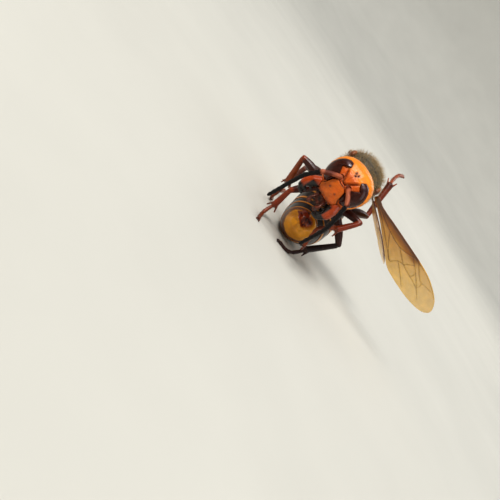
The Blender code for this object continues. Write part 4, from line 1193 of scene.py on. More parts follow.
waist_mesh = skin_mesh(["petiole"], grow=0.16, voxel=0.07, relax=3)
paint(waist_mesh, plain_colour(BAND_DARK, len(waist_mesh.vertices)))
dress("waist", waist_mesh, GASTER_SHELL, ["petiole"])

chamber_mesh = skin_mesh(["sting_chamber"], grow=0.14, voxel=0.06, relax=2)
lumps = flat_noise(points_of(chamber_mesh), scale=1.1, seed=17)
raise_points(chamber_mesh, STING_LUMPS * lumps)
# painted shade in the hollows of the lumps
chamber_colours = blend_colour(plain_colour(STING_RED, len(lumps)), STING_HOLLOW_SHADE, ramp(-lumps, 0.0, 0.9))
# painted light on the peaks of the lumps
paint(chamber_mesh, blend_colour(chamber_colours, STING_PEAK_LIGHT, 0.7 * ramp(lumps, 0.4, 1.2)))
dress("sting_chamber_skin", chamber_mesh, MOUTH_SKIN, ["sting_chamber"])

# %% [markdown]
# ## The legs
# A leg is one skin from hip to claw, because seen close the joints fold into each other without a gap. The
# four solids of each leg are swelled, melted and thinned again. The course of each leg is repeated here as
# a few points, so that every vertex knows which joint it belongs to and how far along it lies.

# %% The course of each leg
FOOT = -18.85
LEGS = {
    "fore_left": [(1.6, 5.8, -2.4), (2.6, 4.8, -5.4), (8.6, 3.0, -2.5), (6.8, -0.2, -6.9),
                  (4.6, -2.0, -9.6), (5.2, -2.4, -11.9), (6.1, -2.6, -14.1)],
    "mid_left": [(2.5, 8.6, -3.2), (3.6, 8.1, -6.2), (10.4, 7.0, -9.7), (7.3, 4.2, -15.6),
                 (6.3, 3.0, -18.1), (4.8, 1.4, FOOT), (2.8, 0.6, FOOT)],
    "hind_left": [(2.5, 11.4, -3.2), (4.8, 12.0, -5.2), (8.8, 19.2, -2.6), (5.6, 23.4, 5.4),
                  (5.0, 26.8, 6.6), (5.0, 30.0, 7.9), (5.7, 32.6, 8.4)],
    "fore_right": [(-1.6, 5.8, -2.4), (-2.4, 4.8, -5.4), (-5.4, 1.4, -11.0), (-4.7, 2.4, -15.8),
                   (-4.7, 1.0, -17.9), (-4.3, -1.0, FOOT), (-3.9, -3.4, FOOT)],
    "mid_right": [(-2.5, 8.6, -3.2), (-3.5, 8.1, -5.8), (-10.1, 8.0, -5.9), (-7.8, 11.0, -12.2),
                  (-7.2, 13.0, -15.6), (-7.1, 14.4, -18.0), (-6.9, 16.6, FOOT)],
    "hind_right": [(-2.5, 11.4, -3.2), (-4.8, 12.2, -5.2), (-8.6, 19.0, -8.2), (-8.4, 24.5, -15.0),
                   (-8.2, 26.4, -17.8), (-8.0, 28.6, FOOT), (-7.6, 33.4, FOOT)],
}
LEG_PARTS = ("coxa", "femur", "tibia", "tarsus")


def on_stretch(points, a, b):
    """For each point: the share along a straight stretch at which it is nearest, and the distance there."""
    along = b - a
    share = np.clip((points - a) @ along / max(along @ along, TINY), 0.0, 1.0)
    return share, np.linalg.norm(points - a - share[:, None] * along, axis=1)


def nearest_on_path(points, path):
    """For each point: the stretch of the path that is nearest, the share along it, and the distance."""
    path = np.array(path, float)
    found = [on_stretch(points, a, b) for a, b in zip(path[:-1], path[1:])]
    distances = np.array([away for _, away in found])
    stretch = distances.argmin(axis=0)
    rows = np.arange(len(points))
    return stretch, np.array([share for share, _ in found])[stretch, rows], distances[stretch, rows]


print("legs:", ", ".join(LEGS))

# %% [markdown]
# The legs are tinted one by one. Their thighs are dark maroon, their shins and feet red-brown and their knees
# a brighter red. The middle left leg, on the shaded side under the body, is painted almost black all along as
# painted shade, and the shin of the middle right leg, which catches the light, is painted lighter as painted
# light. Slow patches and the ends of each length of shin and foot are darker. The colour is looked up for
# each vertex by the joint that it belongs to.

# %% Leg skins
MAROON = (0.050, 0.008, 0.004)
RED_BROWN = (0.23, 0.032, 0.006)
KNEE_RED = (0.32, 0.050, 0.008)
LEG_BLACK = (0.018, 0.008, 0.006)
LEG_TINTS = {
    "fore_left": (MAROON, MAROON, RED_BROWN, (0.20, 0.040, 0.012)),
    # painted shade: the middle left leg, on the shaded side under the body, is painted almost black
    "mid_left": (LEG_BLACK, (0.040, 0.010, 0.006), LEG_BLACK, (0.035, 0.010, 0.006)),
    "hind_left": (MAROON, MAROON, (0.17, 0.028, 0.008), (0.30, 0.065, 0.018)),
    "fore_right": (MAROON, MAROON, RED_BROWN, (0.20, 0.040, 0.012)),
    # painted light: the shin of the middle right leg, which catches the light, is painted lighter
    "mid_right": (MAROON, (0.050, 0.011, 0.006), (0.27, 0.060, 0.016), (0.24, 0.050, 0.014)),
    "hind_right": (MAROON, (0.050, 0.011, 0.006), (0.17, 0.033, 0.011), (0.24, 0.050, 0.014)),
}
LEG_SWELL, LEG_THIN = 0.17, 0.09
KNEE_ABOVE, KNEE_BELOW, JOINT_END, JOINT_START = (0.86, 0.98), (0.02, 0.16), (0.94, 1.0), (0.0, 0.06)
FEMUR, TIBIA, TARSUS = 1, 2, 3


def tint_leg(mesh, name):
    points = points_of(mesh)
    stretch, share, _ = nearest_on_path(points, LEGS[name])
    part = np.minimum(stretch, TARSUS)
    colours = np.array(LEG_TINTS[name])[part]
    # the middle left leg is painted in shade, so it gets no brighter knee
    if name != "mid_left":
        knee = (part == FEMUR) * ramp(share, *KNEE_ABOVE) + (part == TIBIA) * (1 - ramp(share, *KNEE_BELOW))
        colours = blend_colour(colours, KNEE_RED, 0.7 * knee)
    ends = np.maximum(ramp(share, *JOINT_END), 1 - ramp(share, *JOINT_START))
    colours = blend_colour(colours, LEG_BLACK, 0.5 * ends * (part > FEMUR))
    shade = ramp(flat_noise(points, scale=0.3, seed=19), 0.2, 1.0)
    paint(mesh, blend_colour(colours, LEG_BLACK, 0.35 * shade))


for name in LEGS:
    nodes = [f"{part}_{name}" for part in LEG_PARTS]
    leg_mesh = skin_mesh(nodes, grow=LEG_SWELL, voxel=0.075, relax=14)
    raise_points(leg_mesh, np.full(len(leg_mesh.vertices), -LEG_THIN))
    rest_on_floor(leg_mesh)
    tint_leg(leg_mesh, name)
    dress(f"leg_{name}", leg_mesh, LEG_SHELL, nodes)

# %% [markdown]
# ## The wings
# A hornet's wing is a film of chitin a few hundredths of a millimetre thick, amber and clear, stretched
# between stiff brown veins. The solid wing has to be thicker than that. Here each wing is a thin closed
# film that follows the same outline, with a slight sag between its veins, and the veins are tapering
# ridges on both of its faces. The film is less than a tenth of a millimetre thick.

# %% Wing outlines and veins, in millimetres along the span and back from the leading edge
FORE_OUTLINE = [
    (0.0, -0.3), (3.0, 0.1), (7.9, -0.5), (13.3, -1.2), (18.4, -1.9), (22.7, -2.25), (26.4, -1.9),
    (29.4, -1.1), (31.7, 0.3), (32.7, 1.9), (31.9, 3.5), (29.6, 4.9), (26.4, 5.9), (22.3, 6.5),
    (18.6, 6.6), (13.1, 4.9), (7.5, 3.0), (3.0, 1.6), (0.0, 0.9),
]
FORE_VEINS = [
    (0.34, [(0.2, 0.1), (3.0, 0.25), (8.0, -0.25), (13.3, -0.95), (17.6, -1.5), (19.6, -1.75)]),
    (0.20, [(19.6, -1.75), (22.7, -2.0), (26.4, -1.7), (29.2, -0.95)]),
    (0.26, [(0.7, 0.45), (4.5, 0.85), (9.2, 1.3), (13.7, 1.0), (16.4, -0.6), (17.4, -1.4)]),
    (0.15, [(13.7, 1.0), (18.6, 2.2), (25.3, 2.0), (28.6, 3.2)]),
    (0.15, [(9.2, 1.4), (12.6, 3.4), (16.9, 5.2), (17.3, 3.1), (18.6, 2.2)]),
    (0.12, [(17.3, 3.1), (20.8, 4.2), (24.4, 5.4)]),
    (0.14, [(17.2, -0.8), (19.2, -0.3), (21.4, 0.4), (25.1, 1.7)]),
    (0.15, [(19.0, -1.5), (21.0, -0.7), (23.8, 0.2), (25.3, -0.4), (27.6, -1.4)]),
    (0.12, [(21.4, 0.4), (21.9, 1.3), (22.0, 2.1)]),
    (0.12, [(24.4, 0.1), (25.1, 1.0), (25.3, 2.0)]),
    (0.18, [(0.9, 0.75), (3.0, 1.0), (9.5, 2.9), (16.9, 5.2)]),
    (0.11, [(18.6, 2.2), (18.9, 0.9), (19.2, -0.3)]),
]
HIND_OUTLINE = [
    (0.0, -0.4), (4.0, -0.6), (9.0, -0.9), (14.0, -1.3), (18.5, -1.2), (20.8, -0.1), (20.4, 1.2),
    (17.5, 2.6), (13.0, 3.7), (8.0, 3.9), (4.2, 2.6), (1.2, 1.2), (0.0, 0.7),
]
HIND_VEINS = [
    (0.24, [(0.2, -0.15), (4.0, -0.4), (9.0, -0.65), (13.5, -1.0), (16.0, -1.1)]),
    (0.16, [(0.7, 0.2), (4.0, 0.55), (7.5, 1.0), (10.2, 2.0), (10.1, 0.9), (9.8, -0.5)]),
    (0.12, [(10.2, 2.0), (12.8, 2.3), (15.2, 2.4)]),
    (0.12, [(9.9, 0.6), (13.0, 0.5), (16.0, 0.4)]),
    (0.13, [(0.8, 0.45), (3.6, 1.5), (7.2, 2.6)]),
]
# Where each wing is rooted, which way it and its chord run, and how far it bulges.
WINGS = {
    "forewing_left": ((6.0, 8.7, 3.0), (0.93, 0.34, -0.13), (0.0, 0.5, -0.86), 0.5),
    "hindwing_left": ((5.5, 11.2, 1.7), (0.74, 0.57, -0.36), (-0.25, 0.95, -0.2), 0.3),
    "forewing_right": ((-5.7, 9.6, 3.0), (0.0, 0.99, -0.08), (0.86, 0.0, -0.5), 0.3),
    "hindwing_right": ((-5.3, 11.6, 1.3), (-0.03, 0.98, -0.14), (0.5, 0.0, -0.86), 0.2),
}
FOLDED_CHORD = 0.5
print("wings:", ", ".join(WINGS))

# %% [markdown]
# Each wing is first laid out flat. Blender's two-dimensional triangulation fills the outline with small
# triangles, over a grid and over rows of points across every vein, so that a ridge has points to rise on.

# %% The flat wing
FILM_STEP, VEIN_STEP = 0.42, 0.3
RING_CLOSE = 3
SHAKE, SHAKE_CHORD, SHAKE_SPAN = 0.02, 37.0, 29.0
VEIN_ROWS = (-1.0, -0.45, 0.0, 0.45, 1.0)
INSIDE_ONLY, MERGE = 1, 0.02


def curve_keys(points):
    """The distance of each point from the start of a path, and the keys of a curve for each coordinate."""
    points = np.array(points, float)
    gaps = np.linalg.norm(np.diff(points, axis=0), axis=1)
    along = np.concatenate([[0.0], np.cumsum(gaps)])
    return along, [list(zip(along, row)) for row in points.T]


def dense_path(points, step):
    """A smooth line through a few points, as many evenly spaced ones."""
    along, keys = curve_keys(points)
    count = max(int(round(along[-1] / step)), 2)
    spots = [along[-1] * i / count for i in range(count + 1)]
    return np.array([[read_curve(key, s) for key in keys] for s in spots])


def closed_outline(outline, step):
    """The same for a closed line, which is carried on past its ends so that it closes smoothly."""
    along, keys = curve_keys(outline[-RING_CLOSE:] + outline + outline[:RING_CLOSE])
    start, end = along[RING_CLOSE], along[RING_CLOSE + len(outline)]
    count = int((end - start) / step)
    spots = [start + (end - start) * i / count for i in range(count)]
    return [tuple(read_curve(key, s) for key in keys) for s in spots]


def grid_points(rim):
    """A slightly shaken grid over the wing, so that no long straight folds show."""
    spans, chords = zip(*rim)
    places = [(s, c) for s in np.arange(min(spans), max(spans), FILM_STEP)
              for c in np.arange(min(chords), max(chords), FILM_STEP)]
    return [Vector((s + SHAKE * math.sin(c * SHAKE_CHORD), c + SHAKE * math.sin(s * SHAKE_SPAN)))
            for s, c in places]


def vein_points(width, line):
    """Rows of points across a vein, all along it."""
    points = []
    for i, spot in enumerate(line):
        along = line[min(i + 1, len(line) - 1)] - line[max(i - 1, 0)]
        along /= max(np.linalg.norm(along), TINY)
        across = np.array((-along[1], along[0]))
        points += [Vector(spot + across * offset * width) for offset in VEIN_ROWS]
    return points


def flat_wing(rim, lines):
    """The points and triangles of a wing, seen flat."""
    points = [Vector(p) for p in rim] + grid_points(rim)
    for width, line in lines:
        points += vein_points(width, line)
    outline = [list(range(len(rim)))]
    flat, _, faces, _, _, _ = geometry.delaunay_2d_cdt(points, [], outline, INSIDE_ONLY, MERGE)
    used = sorted({i for face in faces for i in face})
    number = {old: new for new, old in enumerate(used)}
    return np.array([tuple(flat[i]) for i in used]), [tuple(number[i] for i in face) for face in faces]


print("wing layout is ready")

# %% [markdown]
# Then the flat wing is laid in its place. It bulges from root to tip and sags between the veins. Both its
# faces are made from the same triangles and joined round the rim, so that the film is a closed body.

# %% Film and ridges
FILM_HALF = 0.035
VEIN_TAPER, VEIN_HEIGHT, VEIN_INK = 0.45, 0.42, 0.38
SAG, SAG_REACH = 0.10, 1.2
WAVE, WAVE_CHORD, WAVE_SPAN = 0.05, 2.1, 0.3


def wing_axes(name):
    """Root, span, chord and normal of a wing at right angles to each other, and its bulge."""
    root, span, chord, belly = WINGS[name]
    span = np.array(span) / np.linalg.norm(span)
    chord = chord - span * (chord @ span)
    chord /= np.linalg.norm(chord)
    return np.array(root), span, chord, np.cross(span, chord), belly


def vein_relief(flat, lines, length):
    """The height of the veins at each point, and its distance from the edge of the nearest vein."""
    ridge = np.zeros(len(flat))
    nearest = np.full(len(flat), np.inf)
    taper = 1.0 - VEIN_TAPER * np.clip(flat[:, 0] / length, 0, 1)
    for width, line in lines:
        away = nearest_on_path(flat, line)[2]
        round_top = np.sqrt(np.clip(1.0 - (away / (width * taper)) ** 2, 0, 1))
        ridge = np.maximum(ridge, width * VEIN_HEIGHT * taper * round_top)
        nearest = np.minimum(nearest, away - width * VEIN_INK * taper)
    return ridge, nearest


def closed_film(top, bottom, faces):
    """Two sheets over the same triangles, joined all round their rim."""
    count = len(top)
    solid = list(faces) + [tuple(count + i for i in reversed(face)) for face in faces]
    sides = {(a, b) for face in faces for a, b in zip(face, face[1:] + face[:1])}
    solid += [(b, a, count + a, count + b) for a, b in sides if (b, a) not in sides]
    return mesh_from(np.concatenate([top, bottom]), solid)


def film_mesh(name, flat, faces, ridge, nearest, length):
    """Lays the flat wing in its place, bulged, sagging between its veins, and with ridges on both faces."""
    root, span, chord, normal, belly = wing_axes(name)
    narrow = FOLDED_CHORD if name.endswith("right") else 1.0
    sag = SAG * np.sin(np.clip(nearest, 0, SAG_REACH) / SAG_REACH * math.pi)
    sag = sag + WAVE * np.sin(flat[:, 1] * WAVE_CHORD + flat[:, 0] * WAVE_SPAN)
    middle = belly * np.sin(math.pi * np.clip(flat[:, 0] / length, 0, 1)) + sag
    base = root + flat[:, :1] * span + (flat[:, 1] * narrow)[:, None] * chord
    top = base + (middle + FILM_HALF + ridge)[:, None] * normal
    bottom = base + (middle - FILM_HALF - ridge)[:, None] * normal
    return closed_film(top, bottom, faces)


print("the film is", 2 * FILM_HALF, "mm thick")

# %% [markdown]
# The film is deep amber at the root and paler toward tip and rear edge, with a brown strip along the front
# that ends at a dark wing spot. A second number for each vertex tells how solid the film looks there.

# %% Colour of the film
AMBER = (0.72, 0.30, 0.010)
PALE_AMBER = (1.0, 0.64, 0.12)
COSTAL_BROWN = (0.11, 0.032, 0.008)
COSTAL_ORANGE = (0.36, 0.115, 0.012)
VEIN_BROWN = (0.15, 0.052, 0.014)
VEIN_TAN = (0.36, 0.21, 0.07)
VEIN_BORDER = (-0.02, 0.05)
LEADING_POINTS = 9
PALE_FROM, PALE_TO, TAN_FROM, TAN_TO = 6.0, 0.95, 0.45, 0.9
STIGMA_SPAN, COSTAL_FADE, STRIP_FADE = 17.5, 2.0, 3.0
COSTAL_BORDER, STRIP_BORDER = (0.03, 0.12), (0.14, 0.26)
FILM_COVER, ROOT_COVER, ROOT_SPAN, STRIP_COVER, COSTAL_COVER = 0.54, 0.24, 4.0, 0.3, 0.4


def behind_edge(flat, outline, rim):
    """How far behind the leading edge each point lies, as a share of the wing's width."""
    chords = [c for _, c in rim]
    edge = np.array([read_curve(outline[:LEADING_POINTS], s) for s in flat[:, 0]])
    return np.clip((flat[:, 1] - edge) / (max(chords) - min(chords)), 0.0, 1.0)


def front_strip(back, along, border, fade):
    """A strip behind the leading edge, that ends where the dark wing spot is."""
    return (1.0 - ramp(back, *border)) * (1.0 - ramp(along, STIGMA_SPAN, STIGMA_SPAN + fade))


def film_colour(along, back, nearest, length):
    """The colour of each point of a film, and how solid it looks there."""
    costal = front_strip(back, along, COSTAL_BORDER, COSTAL_FADE)
    strip = front_strip(back, along, STRIP_BORDER, STRIP_FADE)
    vein = 1.0 - ramp(nearest, *VEIN_BORDER)
    pale = np.clip(0.85 * ramp(along, PALE_FROM, length * PALE_TO) + 0.5 * back, 0, 1)
    amber = blend_colour(plain_colour(AMBER, len(along)), PALE_AMBER, pale)
    amber = blend_colour(amber, COSTAL_ORANGE, 0.9 * strip)
    amber = blend_colour(amber, COSTAL_BROWN, 0.9 * costal)
    tan = np.clip(0.9 * ramp(along, length * TAN_FROM, length * TAN_TO) + 0.25 * back, 0, 1)
    tone = blend_colour(plain_colour(VEIN_BROWN, len(along)), VEIN_TAN, tan)
    cover = FILM_COVER + ROOT_COVER * (1 - ramp(along, ROOT_SPAN, length))
    cover = np.clip(cover + STRIP_COVER * strip + COSTAL_COVER * costal + vein, 0.0, 1.0)
    return amber * (1 - vein[:, None]) + tone * vein[:, None], cover


print("the dark wing spot lies", STIGMA_SPAN, "mm along the wing")

# %% [markdown]
# The film lets part of the light straight through. The material mixes an amber shell with a clear surface
# by the shader's alpha, which is high on the veins and the leading edge and lower between them. Fine
# wrinkles in the bump give the film its silky, broken gloss.

# %% Wing material
FILM_ROUGHNESS, FILM_COAT, FILM_COAT_ROUGHNESS = 0.28, 0.3, 0.2
FILM_SPECKS, FILM_DARKEST, FILM_PALEST = 0.5, 0.88, 1.1
WRINKLES_PER_MM, WRINKLE_DETAIL, WRINKLE_BUMP, WRINKLE_DEPTH = 2.4, 5.0, 0.5, 0.00006

wing_film, wing_shader = new_material("wing_film", FILM_ROUGHNESS)
lacquer(wing_shader, FILM_COAT, FILM_COAT_ROUGHNESS)
wing_where = place_in_millimetres(wing_film)
wing_colour = speckled(wing_film, tint_socket(wing_film), wing_where, FILM_SPECKS, FILM_DARKEST, FILM_PALEST)
join(wing_film, wing_colour, wing_shader.inputs["Base Color"])
cover_value = add_node(wing_film, "ShaderNodeAttribute", attribute_name="Cover")
join(wing_film, cover_value.outputs["Fac"], wing_shader.inputs["Alpha"])
wrinkle = texture(wing_film, "ShaderNodeTexNoise", wing_where, Scale=WRINKLES_PER_MM, Detail=WRINKLE_DETAIL)
bumped(wing_film, wing_shader, wrinkle.outputs["Fac"], WRINKLE_BUMP, WRINKLE_DEPTH)
print("wing material:", wing_film.name)

# %% [markdown]
# All four wings are made alike. The right ones lie back along the body and are narrowed, as a hornet folds
# its wings at rest.

# %% Wings
for name in WINGS:
    outline, veins = (FORE_OUTLINE, FORE_VEINS) if name.startswith("fore") else (HIND_OUTLINE, HIND_VEINS)
    rim = closed_outline(outline, FILM_STEP)
    lines = [(width, dense_path(line, VEIN_STEP)) for width, line in veins]
    length = max(s for s, _ in rim)
    flat, faces = flat_wing(rim, lines)
    ridge, nearest = vein_relief(flat, lines, length)
    wing_mesh = film_mesh(name, flat, faces, ridge, nearest, length)
    colours, cover = film_colour(flat[:, 0], behind_edge(flat, outline, rim), nearest, length)
    paint(wing_mesh, np.concatenate([colours, colours]))
    cover_layer = wing_mesh.attributes.new("Cover", "FLOAT", "POINT")
    cover_layer.data.foreach_set("value", np.concatenate([cover, cover]).astype(np.float32))
    dress(f"wing_{name}", wing_mesh, wing_film, [name])

# %% [markdown]
# ## Hair as real geometry
# A hornet is furry on the thorax, downy on the face and bristly on the feet. Every hair is a thin
# three-sided spike that bends along the lie of the coat. All spikes of one coat are joined in one mesh,
# because a mesh goes anywhere, while a particle system stays in Blender. Each spike also has a small patch
# of its own on an unwrap of the skin, so that a bake finds its colour at the root.

# %% Where hairs grow
NO_LENGTH = 1e-6
UNWRAP_EDGE = 0.01


def unit_rows(rows):
    return rows / np.maximum(np.linalg.norm(rows, axis=1), NO_LENGTH)[:, None]


def painted(mesh):
    rgba = np.empty(len(mesh.vertices) * 4, np.float32)
    mesh.color_attributes["Tint"].data.foreach_get("color", rgba)
    return rgba.reshape(-1, 4)[:, :3]


def triangles_of(mesh):
    mesh.calc_loop_triangles()
    corners = np.empty(len(mesh.loop_triangles) * 3, np.int32)
    mesh.loop_triangles.foreach_get("vertices", corners)
    return corners.reshape(-1, 3)


def skin_samples(mesh, count, weight, dice):
    """Random places on a skin, thicker where the vertex weight is high: points, normals and colours."""
    corners = triangles_of(mesh)
    points = points_of(mesh)
    a, b, c = (points[corners[:, k]] for k in range(3))
    area = np.linalg.norm(np.cross(b - a, c - a), axis=1) * weight[corners].mean(axis=1)
    chosen = corners[dice.choice(len(corners), size=count, p=area / area.sum())]
    u, v = dice.random(count), dice.random(count)
    outside = u + v > 1
    u[outside], v[outside] = 1 - u[outside], 1 - v[outside]
    share = np.stack([1 - u - v, u, v], 1)[:, :, None]
    spots, ways, tints = ((values[chosen] * share).sum(axis=1)
                          for values in (points, normals_of(mesh), painted(mesh)))
    return spots, unit_rows(ways), tints


def round_unwrap(points, centre, axis):
    """Unwraps a round form: the turn about an axis of the frame, and the place along it, within 0 and 1."""
    first, second = [k for k in range(3) if k != axis]
    away = points - np.array(centre)
    turn = np.arctan2(away[:, first], away[:, second]) / (2 * math.pi) + 0.5
    low, high = away[:, axis].min(), away[:, axis].max()
    within = 1 - 2 * UNWRAP_EDGE
    return np.stack([UNWRAP_EDGE + within * turn,
                     UNWRAP_EDGE + within * (away[:, axis] - low) / (high - low)], 1)


print("places for hair are found by area and weight")

# %% [markdown]
# All hairs of a coat are worked out together, ring by ring from root to tip. A little chance in the lie of
# each hair keeps the coat from looking combed. The chance is seeded, so that every run gives the same
# coat.

# %% Spikes
SPIKE_SIDES, SPIKE_STEPS, SPIKE_TAPER = 3, 3, 0.75
ROOT_DEPTH = 0.04
RUFFLE, SWAY = 0.22, 0.12
PATCH = 0.003


def spike_points(roots, normals, lie, lengths, width, lean, curl, dice):
    """The points of all spikes: rings from the root up, and the tip. lie is where the coat runs to."""
    flat = unit_rows(lie - normals * (lie * normals).sum(axis=1)[:, None])
    flat = flat + dice.normal(scale=RUFFLE, size=(len(roots), 3))
    side = unit_rows(np.cross(normals, flat))
    across = np.cross(side, normals)
    sway = dice.normal(scale=SWAY, size=(len(roots), 1))
    turns = [2 * math.pi * k / SPIKE_SIDES for k in range(SPIKE_SIDES)]
    rings = []
    for step in range(SPIKE_STEPS + 1):
        t = step / SPIKE_STEPS
        up = normals * ((1 - lean) * t - curl * 0.5 * t * t)
        out = flat * (lean * t + curl * t * t) + side * sway * t * t
        spine = roots + (up + out) * lengths[:, None] - normals * ROOT_DEPTH * (step == 0)
        radius = width * (1.0 - SPIKE_TAPER * t)
        ring = [spine + (side * math.cos(turn) + across * math.sin(turn)) * radius for turn in turns]
        rings.append(np.stack(ring if step < SPIKE_STEPS else [spine], 1))
    return np.concatenate(rings, axis=1)


def spike_faces(count, per):
    """The triangles of all spikes, with the same pattern in each."""
    pattern = []
    for low in range(0, (SPIKE_STEPS - 1) * SPIKE_SIDES, SPIKE_SIDES):
        high = low + SPIKE_SIDES
        for k in range(SPIKE_SIDES):
            n = (k + 1) % SPIKE_SIDES
            pattern += [(low + k, low + n, high + n), (low + k, high + n, high + k)]
    top = (SPIKE_STEPS - 1) * SPIKE_SIDES
    pattern += [(top + k, top + (k + 1) % SPIKE_SIDES, per - 1) for k in range(SPIKE_SIDES)]
    return (np.array(pattern)[None] + (np.arange(count) * per)[:, None, None]).reshape(-1, 3)


def triangle_mesh(points, faces):
    """A mesh straight from rows of numbers, which is quick for thousands of hairs."""
    mesh = bpy.data.meshes.new("coat")
    mesh.vertices.add(len(points))
    mesh.vertices.foreach_set("co", points.reshape(-1).astype(np.float32))
    mesh.loops.add(len(faces) * 3)
    mesh.loops.foreach_set("vertex_index", faces.ravel().astype(np.int32))
    mesh.polygons.add(len(faces))
    mesh.polygons.foreach_set("loop_start", np.arange(len(faces), dtype=np.int32) * 3)
    mesh.update(calc_edges=True)
    return mesh


def coat_mesh(points, colours, unwrap, dice):
    """Joined spikes, each with the colour and the patch of the unwrap that belong to its root."""
    count, per, _ = points.shape
    faces = spike_faces(count, per)
    mesh = triangle_mesh(points.reshape(-1, 3), faces)
    paint(mesh, np.repeat(colours, per, axis=0))
    patches = np.repeat(unwrap, per, axis=0)
    patches += dice.uniform(-0.5, 0.5, size=patches.shape) * PATCH
    layer = mesh.uv_layers.new(name="OFBake")
    layer.data.foreach_set("uv", patches[faces.ravel()].astype(np.float32).ravel())
    return mesh


print("a hair has", SPIKE_STEPS * SPIKE_SIDES + 1, "points")

# %% [markdown]
# A coat takes a skin, a number of hairs, their sizes and lie, and two shades. Hair has a soft sheen and no
# lacquer. It goes backward on the body and hangs down round the mouth.

# %% Coats and their materials
HAIR_SHEEN, HAIR_SHEEN_ROUGHNESS, HAIR_SPECKS = 0.25, 0.4, 2.2


def backward(spots):
    return plain_colour((0.0, 1.0, 0.15), len(spots))


def hang(spots):
    return plain_colour((0.0, -0.35, -1.0), len(spots))


def fur(skin, count, lengths, width, lean, curl, shades, centre, axis, seed,
        weight=None, lie=backward, mix=1.0):
    """Grows one coat. Its hairs vary between two shades, mixed over the colour of the skin they grow on."""
    dice = np.random.default_rng(seed)
    if weight is None:
        weight = np.ones(len(skins[skin].vertices))
    spots, ways, tints = skin_samples(skins[skin], count, weight, dice)
    share = dice.random(count)[:, None]
    own = np.array(shades[0]) * share + np.array(shades[1]) * (1 - share)
    sizes = dice.uniform(*lengths, size=count)
    points = spike_points(spots, ways, lie(spots), sizes, width, lean, curl, dice)
    mesh = coat_mesh(points, tints * (1 - mix) + own * mix, round_unwrap(spots, centre, axis), dice)
    rest_on_floor(mesh)
    return mesh


def hair_material(name, roughness, variation):
    made, shader = new_material(name, roughness)
    shader.inputs["Sheen Weight"].default_value = HAIR_SHEEN
    shader.inputs["Sheen Roughness"].default_value = HAIR_SHEEN_ROUGHNESS
    where = place_in_millimetres(made)
    colour = speckled(made, tint_socket(made), where, HAIR_SPECKS, 1 - variation, 1 + variation)
    join(made, colour, shader.inputs["Base Color"])
    return made


GOLDEN_HAIR = hair_material("golden_hair", 0.5, 0.35)
DARK_BRISTLE = hair_material("dark_bristle", 0.4, 0.3)
print("hair materials:", GOLDEN_HAIR.name, DARK_BRISTLE.name)

# %% [markdown]
# The fur of the thorax is olive-gold, nearly two millimetres long and thinner on the sides, and it stands
# out as a fringe against the light. It goes on in two coats, a dense short one and a sparser long one, so
# that the long hairs break up the edge as they do on the real animal.

# %% Fur of the thorax
FUR_GOLD = (0.46, 0.32, 0.13)
FUR_OLIVE = (0.13, 0.11, 0.065)
FUR_TAN = (0.56, 0.33, 0.11)
FUR_START, FUR_FACING, FUR_BELOW = (3.4, 4.6), (-0.6, 0.4), 0.35
PARTING_WIDTH, PARTING = 0.42, 0.92
THORAX_MIDDLE = (0.0, 10.0, 1.0)

thorax_x, thorax_y, _ = points_of(skins["thorax_skin"]).T
facing_up = ramp(normals_of(skins["thorax_skin"])[:, 2], *FUR_FACING)
open_back = ramp(thorax_y, *FUR_START) * (FUR_BELOW + (1 - FUR_BELOW) * facing_up)
open_back *= 1 - PARTING * hill(behind_collar(thorax_x, thorax_y), 0.0, PARTING_WIDTH)
short_fur = fur("thorax_skin", 12500, lengths=(0.3, 0.62), width=0.019, lean=0.45, curl=0.25,
                shades=(FUR_GOLD, FUR_OLIVE), centre=THORAX_MIDDLE, axis=1, seed=21, weight=open_back)
dress("thorax_fur_short", short_fur, GOLDEN_HAIR)
long_fur = fur("thorax_skin", 4200, lengths=(0.8, 1.8), width=0.021, lean=0.14, curl=0.25,
               shades=(FUR_TAN, FUR_OLIVE), centre=THORAX_MIDDLE, axis=1, seed=22, weight=open_back)
dress("thorax_fur_long", long_fur, GOLDEN_HAIR)

# %% [markdown]
# The face wears the finest down, a third of a millimetre long at most, orange on orange. It hardly shows
# except where it catches the light along the edge. Round the mouth longer reddish bristles hang down.

# %% Down of the face and bristles of the mouth
DOWN_SHADES = ((0.80, 0.34, 0.08), (0.75, 0.50, 0.22))
MOUTH_SHADES = ((0.16, 0.045, 0.015), (0.035, 0.012, 0.006))
NAPE, NAPE_BARE = (1.5, 2.6), 0.75

face_weight = 1.0 - NAPE_BARE * ramp(points_of(skins["head_skin"])[:, 1], *NAPE)
face_down = fur("head_skin", 5200, lengths=(0.14, 0.34), width=0.011, lean=0.35, curl=0.3,
                shades=DOWN_SHADES, centre=(0.0, 0.0, 0.0), axis=2, seed=31, weight=face_weight)
dress("face_down", face_down, GOLDEN_HAIR)
plate_down = fur("face_plate", 900, lengths=(0.15, 0.35), width=0.011, lean=0.35, curl=0.2,
                 shades=DOWN_SHADES, centre=(0.0, 0.0, -2.8), axis=2, seed=32, lie=hang)
dress("plate_down", plate_down, GOLDEN_HAIR)
mouth_hair = fur("mouth_mass", 1400, lengths=(0.3, 0.85), width=0.019, lean=0.3, curl=0.4,
                 shades=MOUTH_SHADES, centre=(0.0, -1.8, -6.0), axis=2, seed=33, lie=hang)
dress("mouth_bristles", mouth_hair, DARK_BRISTLE)

# %% [markdown]
# The gaster is nearly smooth: sparse pale hairs lie flat along its rings and get longer at the tip. They
# take their colour from the band they grow on, a little lighter, so that the coat carries the same
# markings.

# %% Hair of the gaster
RING_SHADES = ((0.60, 0.42, 0.2), (0.3, 0.16, 0.06))
RING_HAIRS, LAST_HAIRS = (600, 0.5), (650, 0.75)
LIE_STEPS = 60

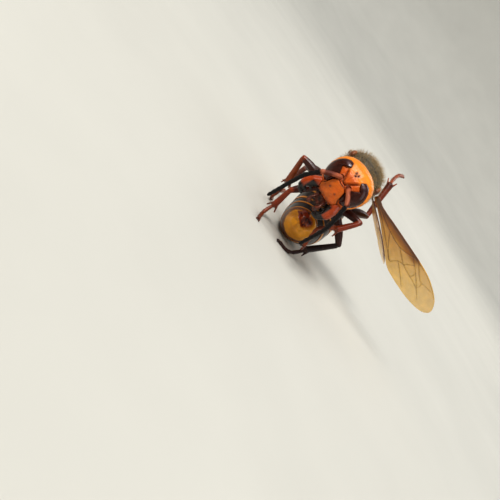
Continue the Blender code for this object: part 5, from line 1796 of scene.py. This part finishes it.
curve_spots = [GASTER_LENGTH * i / (LIE_STEPS - 1) for i in range(LIE_STEPS)]
along_spots = np.array([gaster_middle(s) for s in curve_spots])
along_ways = np.array([gaster_axes(s)[0] for s in curve_spots])


def to_the_tip(spots):
    """The way along the gaster's curve at each hair."""
    nearest = np.linalg.norm(spots[:, None] - along_spots[None], axis=2).argmin(axis=1)
    return along_ways[nearest]


for index in range(RINGS):
    middle = gaster_middle((RING_ENDS[index] + RING_ENDS[index + 1]) / 2)
    amount, longest = LAST_HAIRS if index == LAST else RING_HAIRS
    ring_hair = fur(f"ring_{index + 1}", amount, lengths=(0.2, longest), width=0.010, lean=0.6, curl=0.3,
                    shades=RING_SHADES, centre=middle, axis=0, seed=41 + index, lie=to_the_tip, mix=0.55)
    dress(f"ring_hair_{index + 1}", ring_hair, GOLDEN_HAIR)

# %% [markdown]
# Thighs carry a few fine hairs, shins and feet more and more short dark bristles that point to the claws.
# Their lie follows the stretch of the leg on which they grow.

# %% Bristles of the legs
BRISTLE_SHADES = ((0.16, 0.055, 0.020), (0.02, 0.010, 0.007))
BRISTLES_BY_PART = np.array((0.4, 0.55, 1.0, 1.6))


def leg_lie(path):
    """A function that gives the way of the nearest stretch of a leg at each hair."""
    stretches = unit_rows(np.diff(np.array(path, float), axis=0))
    return lambda spots: stretches[nearest_on_path(spots, path)[0]]


for number, (name, path) in enumerate(LEGS.items()):
    part = np.minimum(nearest_on_path(points_of(skins[f"leg_{name}"]), path)[0], TARSUS)
    bristles = fur(f"leg_{name}", 1500, lengths=(0.16, 0.46), width=0.013, lean=0.5, curl=0.25,
                   shades=BRISTLE_SHADES, centre=np.mean(path, axis=0), axis=1, seed=51 + number,
                   weight=BRISTLES_BY_PART[part], lie=leg_lie(path), mix=0.7)
    dress(f"leg_bristles_{name}", bristles, DARK_BRISTLE)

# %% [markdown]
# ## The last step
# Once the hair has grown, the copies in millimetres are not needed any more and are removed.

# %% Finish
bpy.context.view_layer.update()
for mesh in skins.values():
    bpy.data.meshes.remove(mesh)
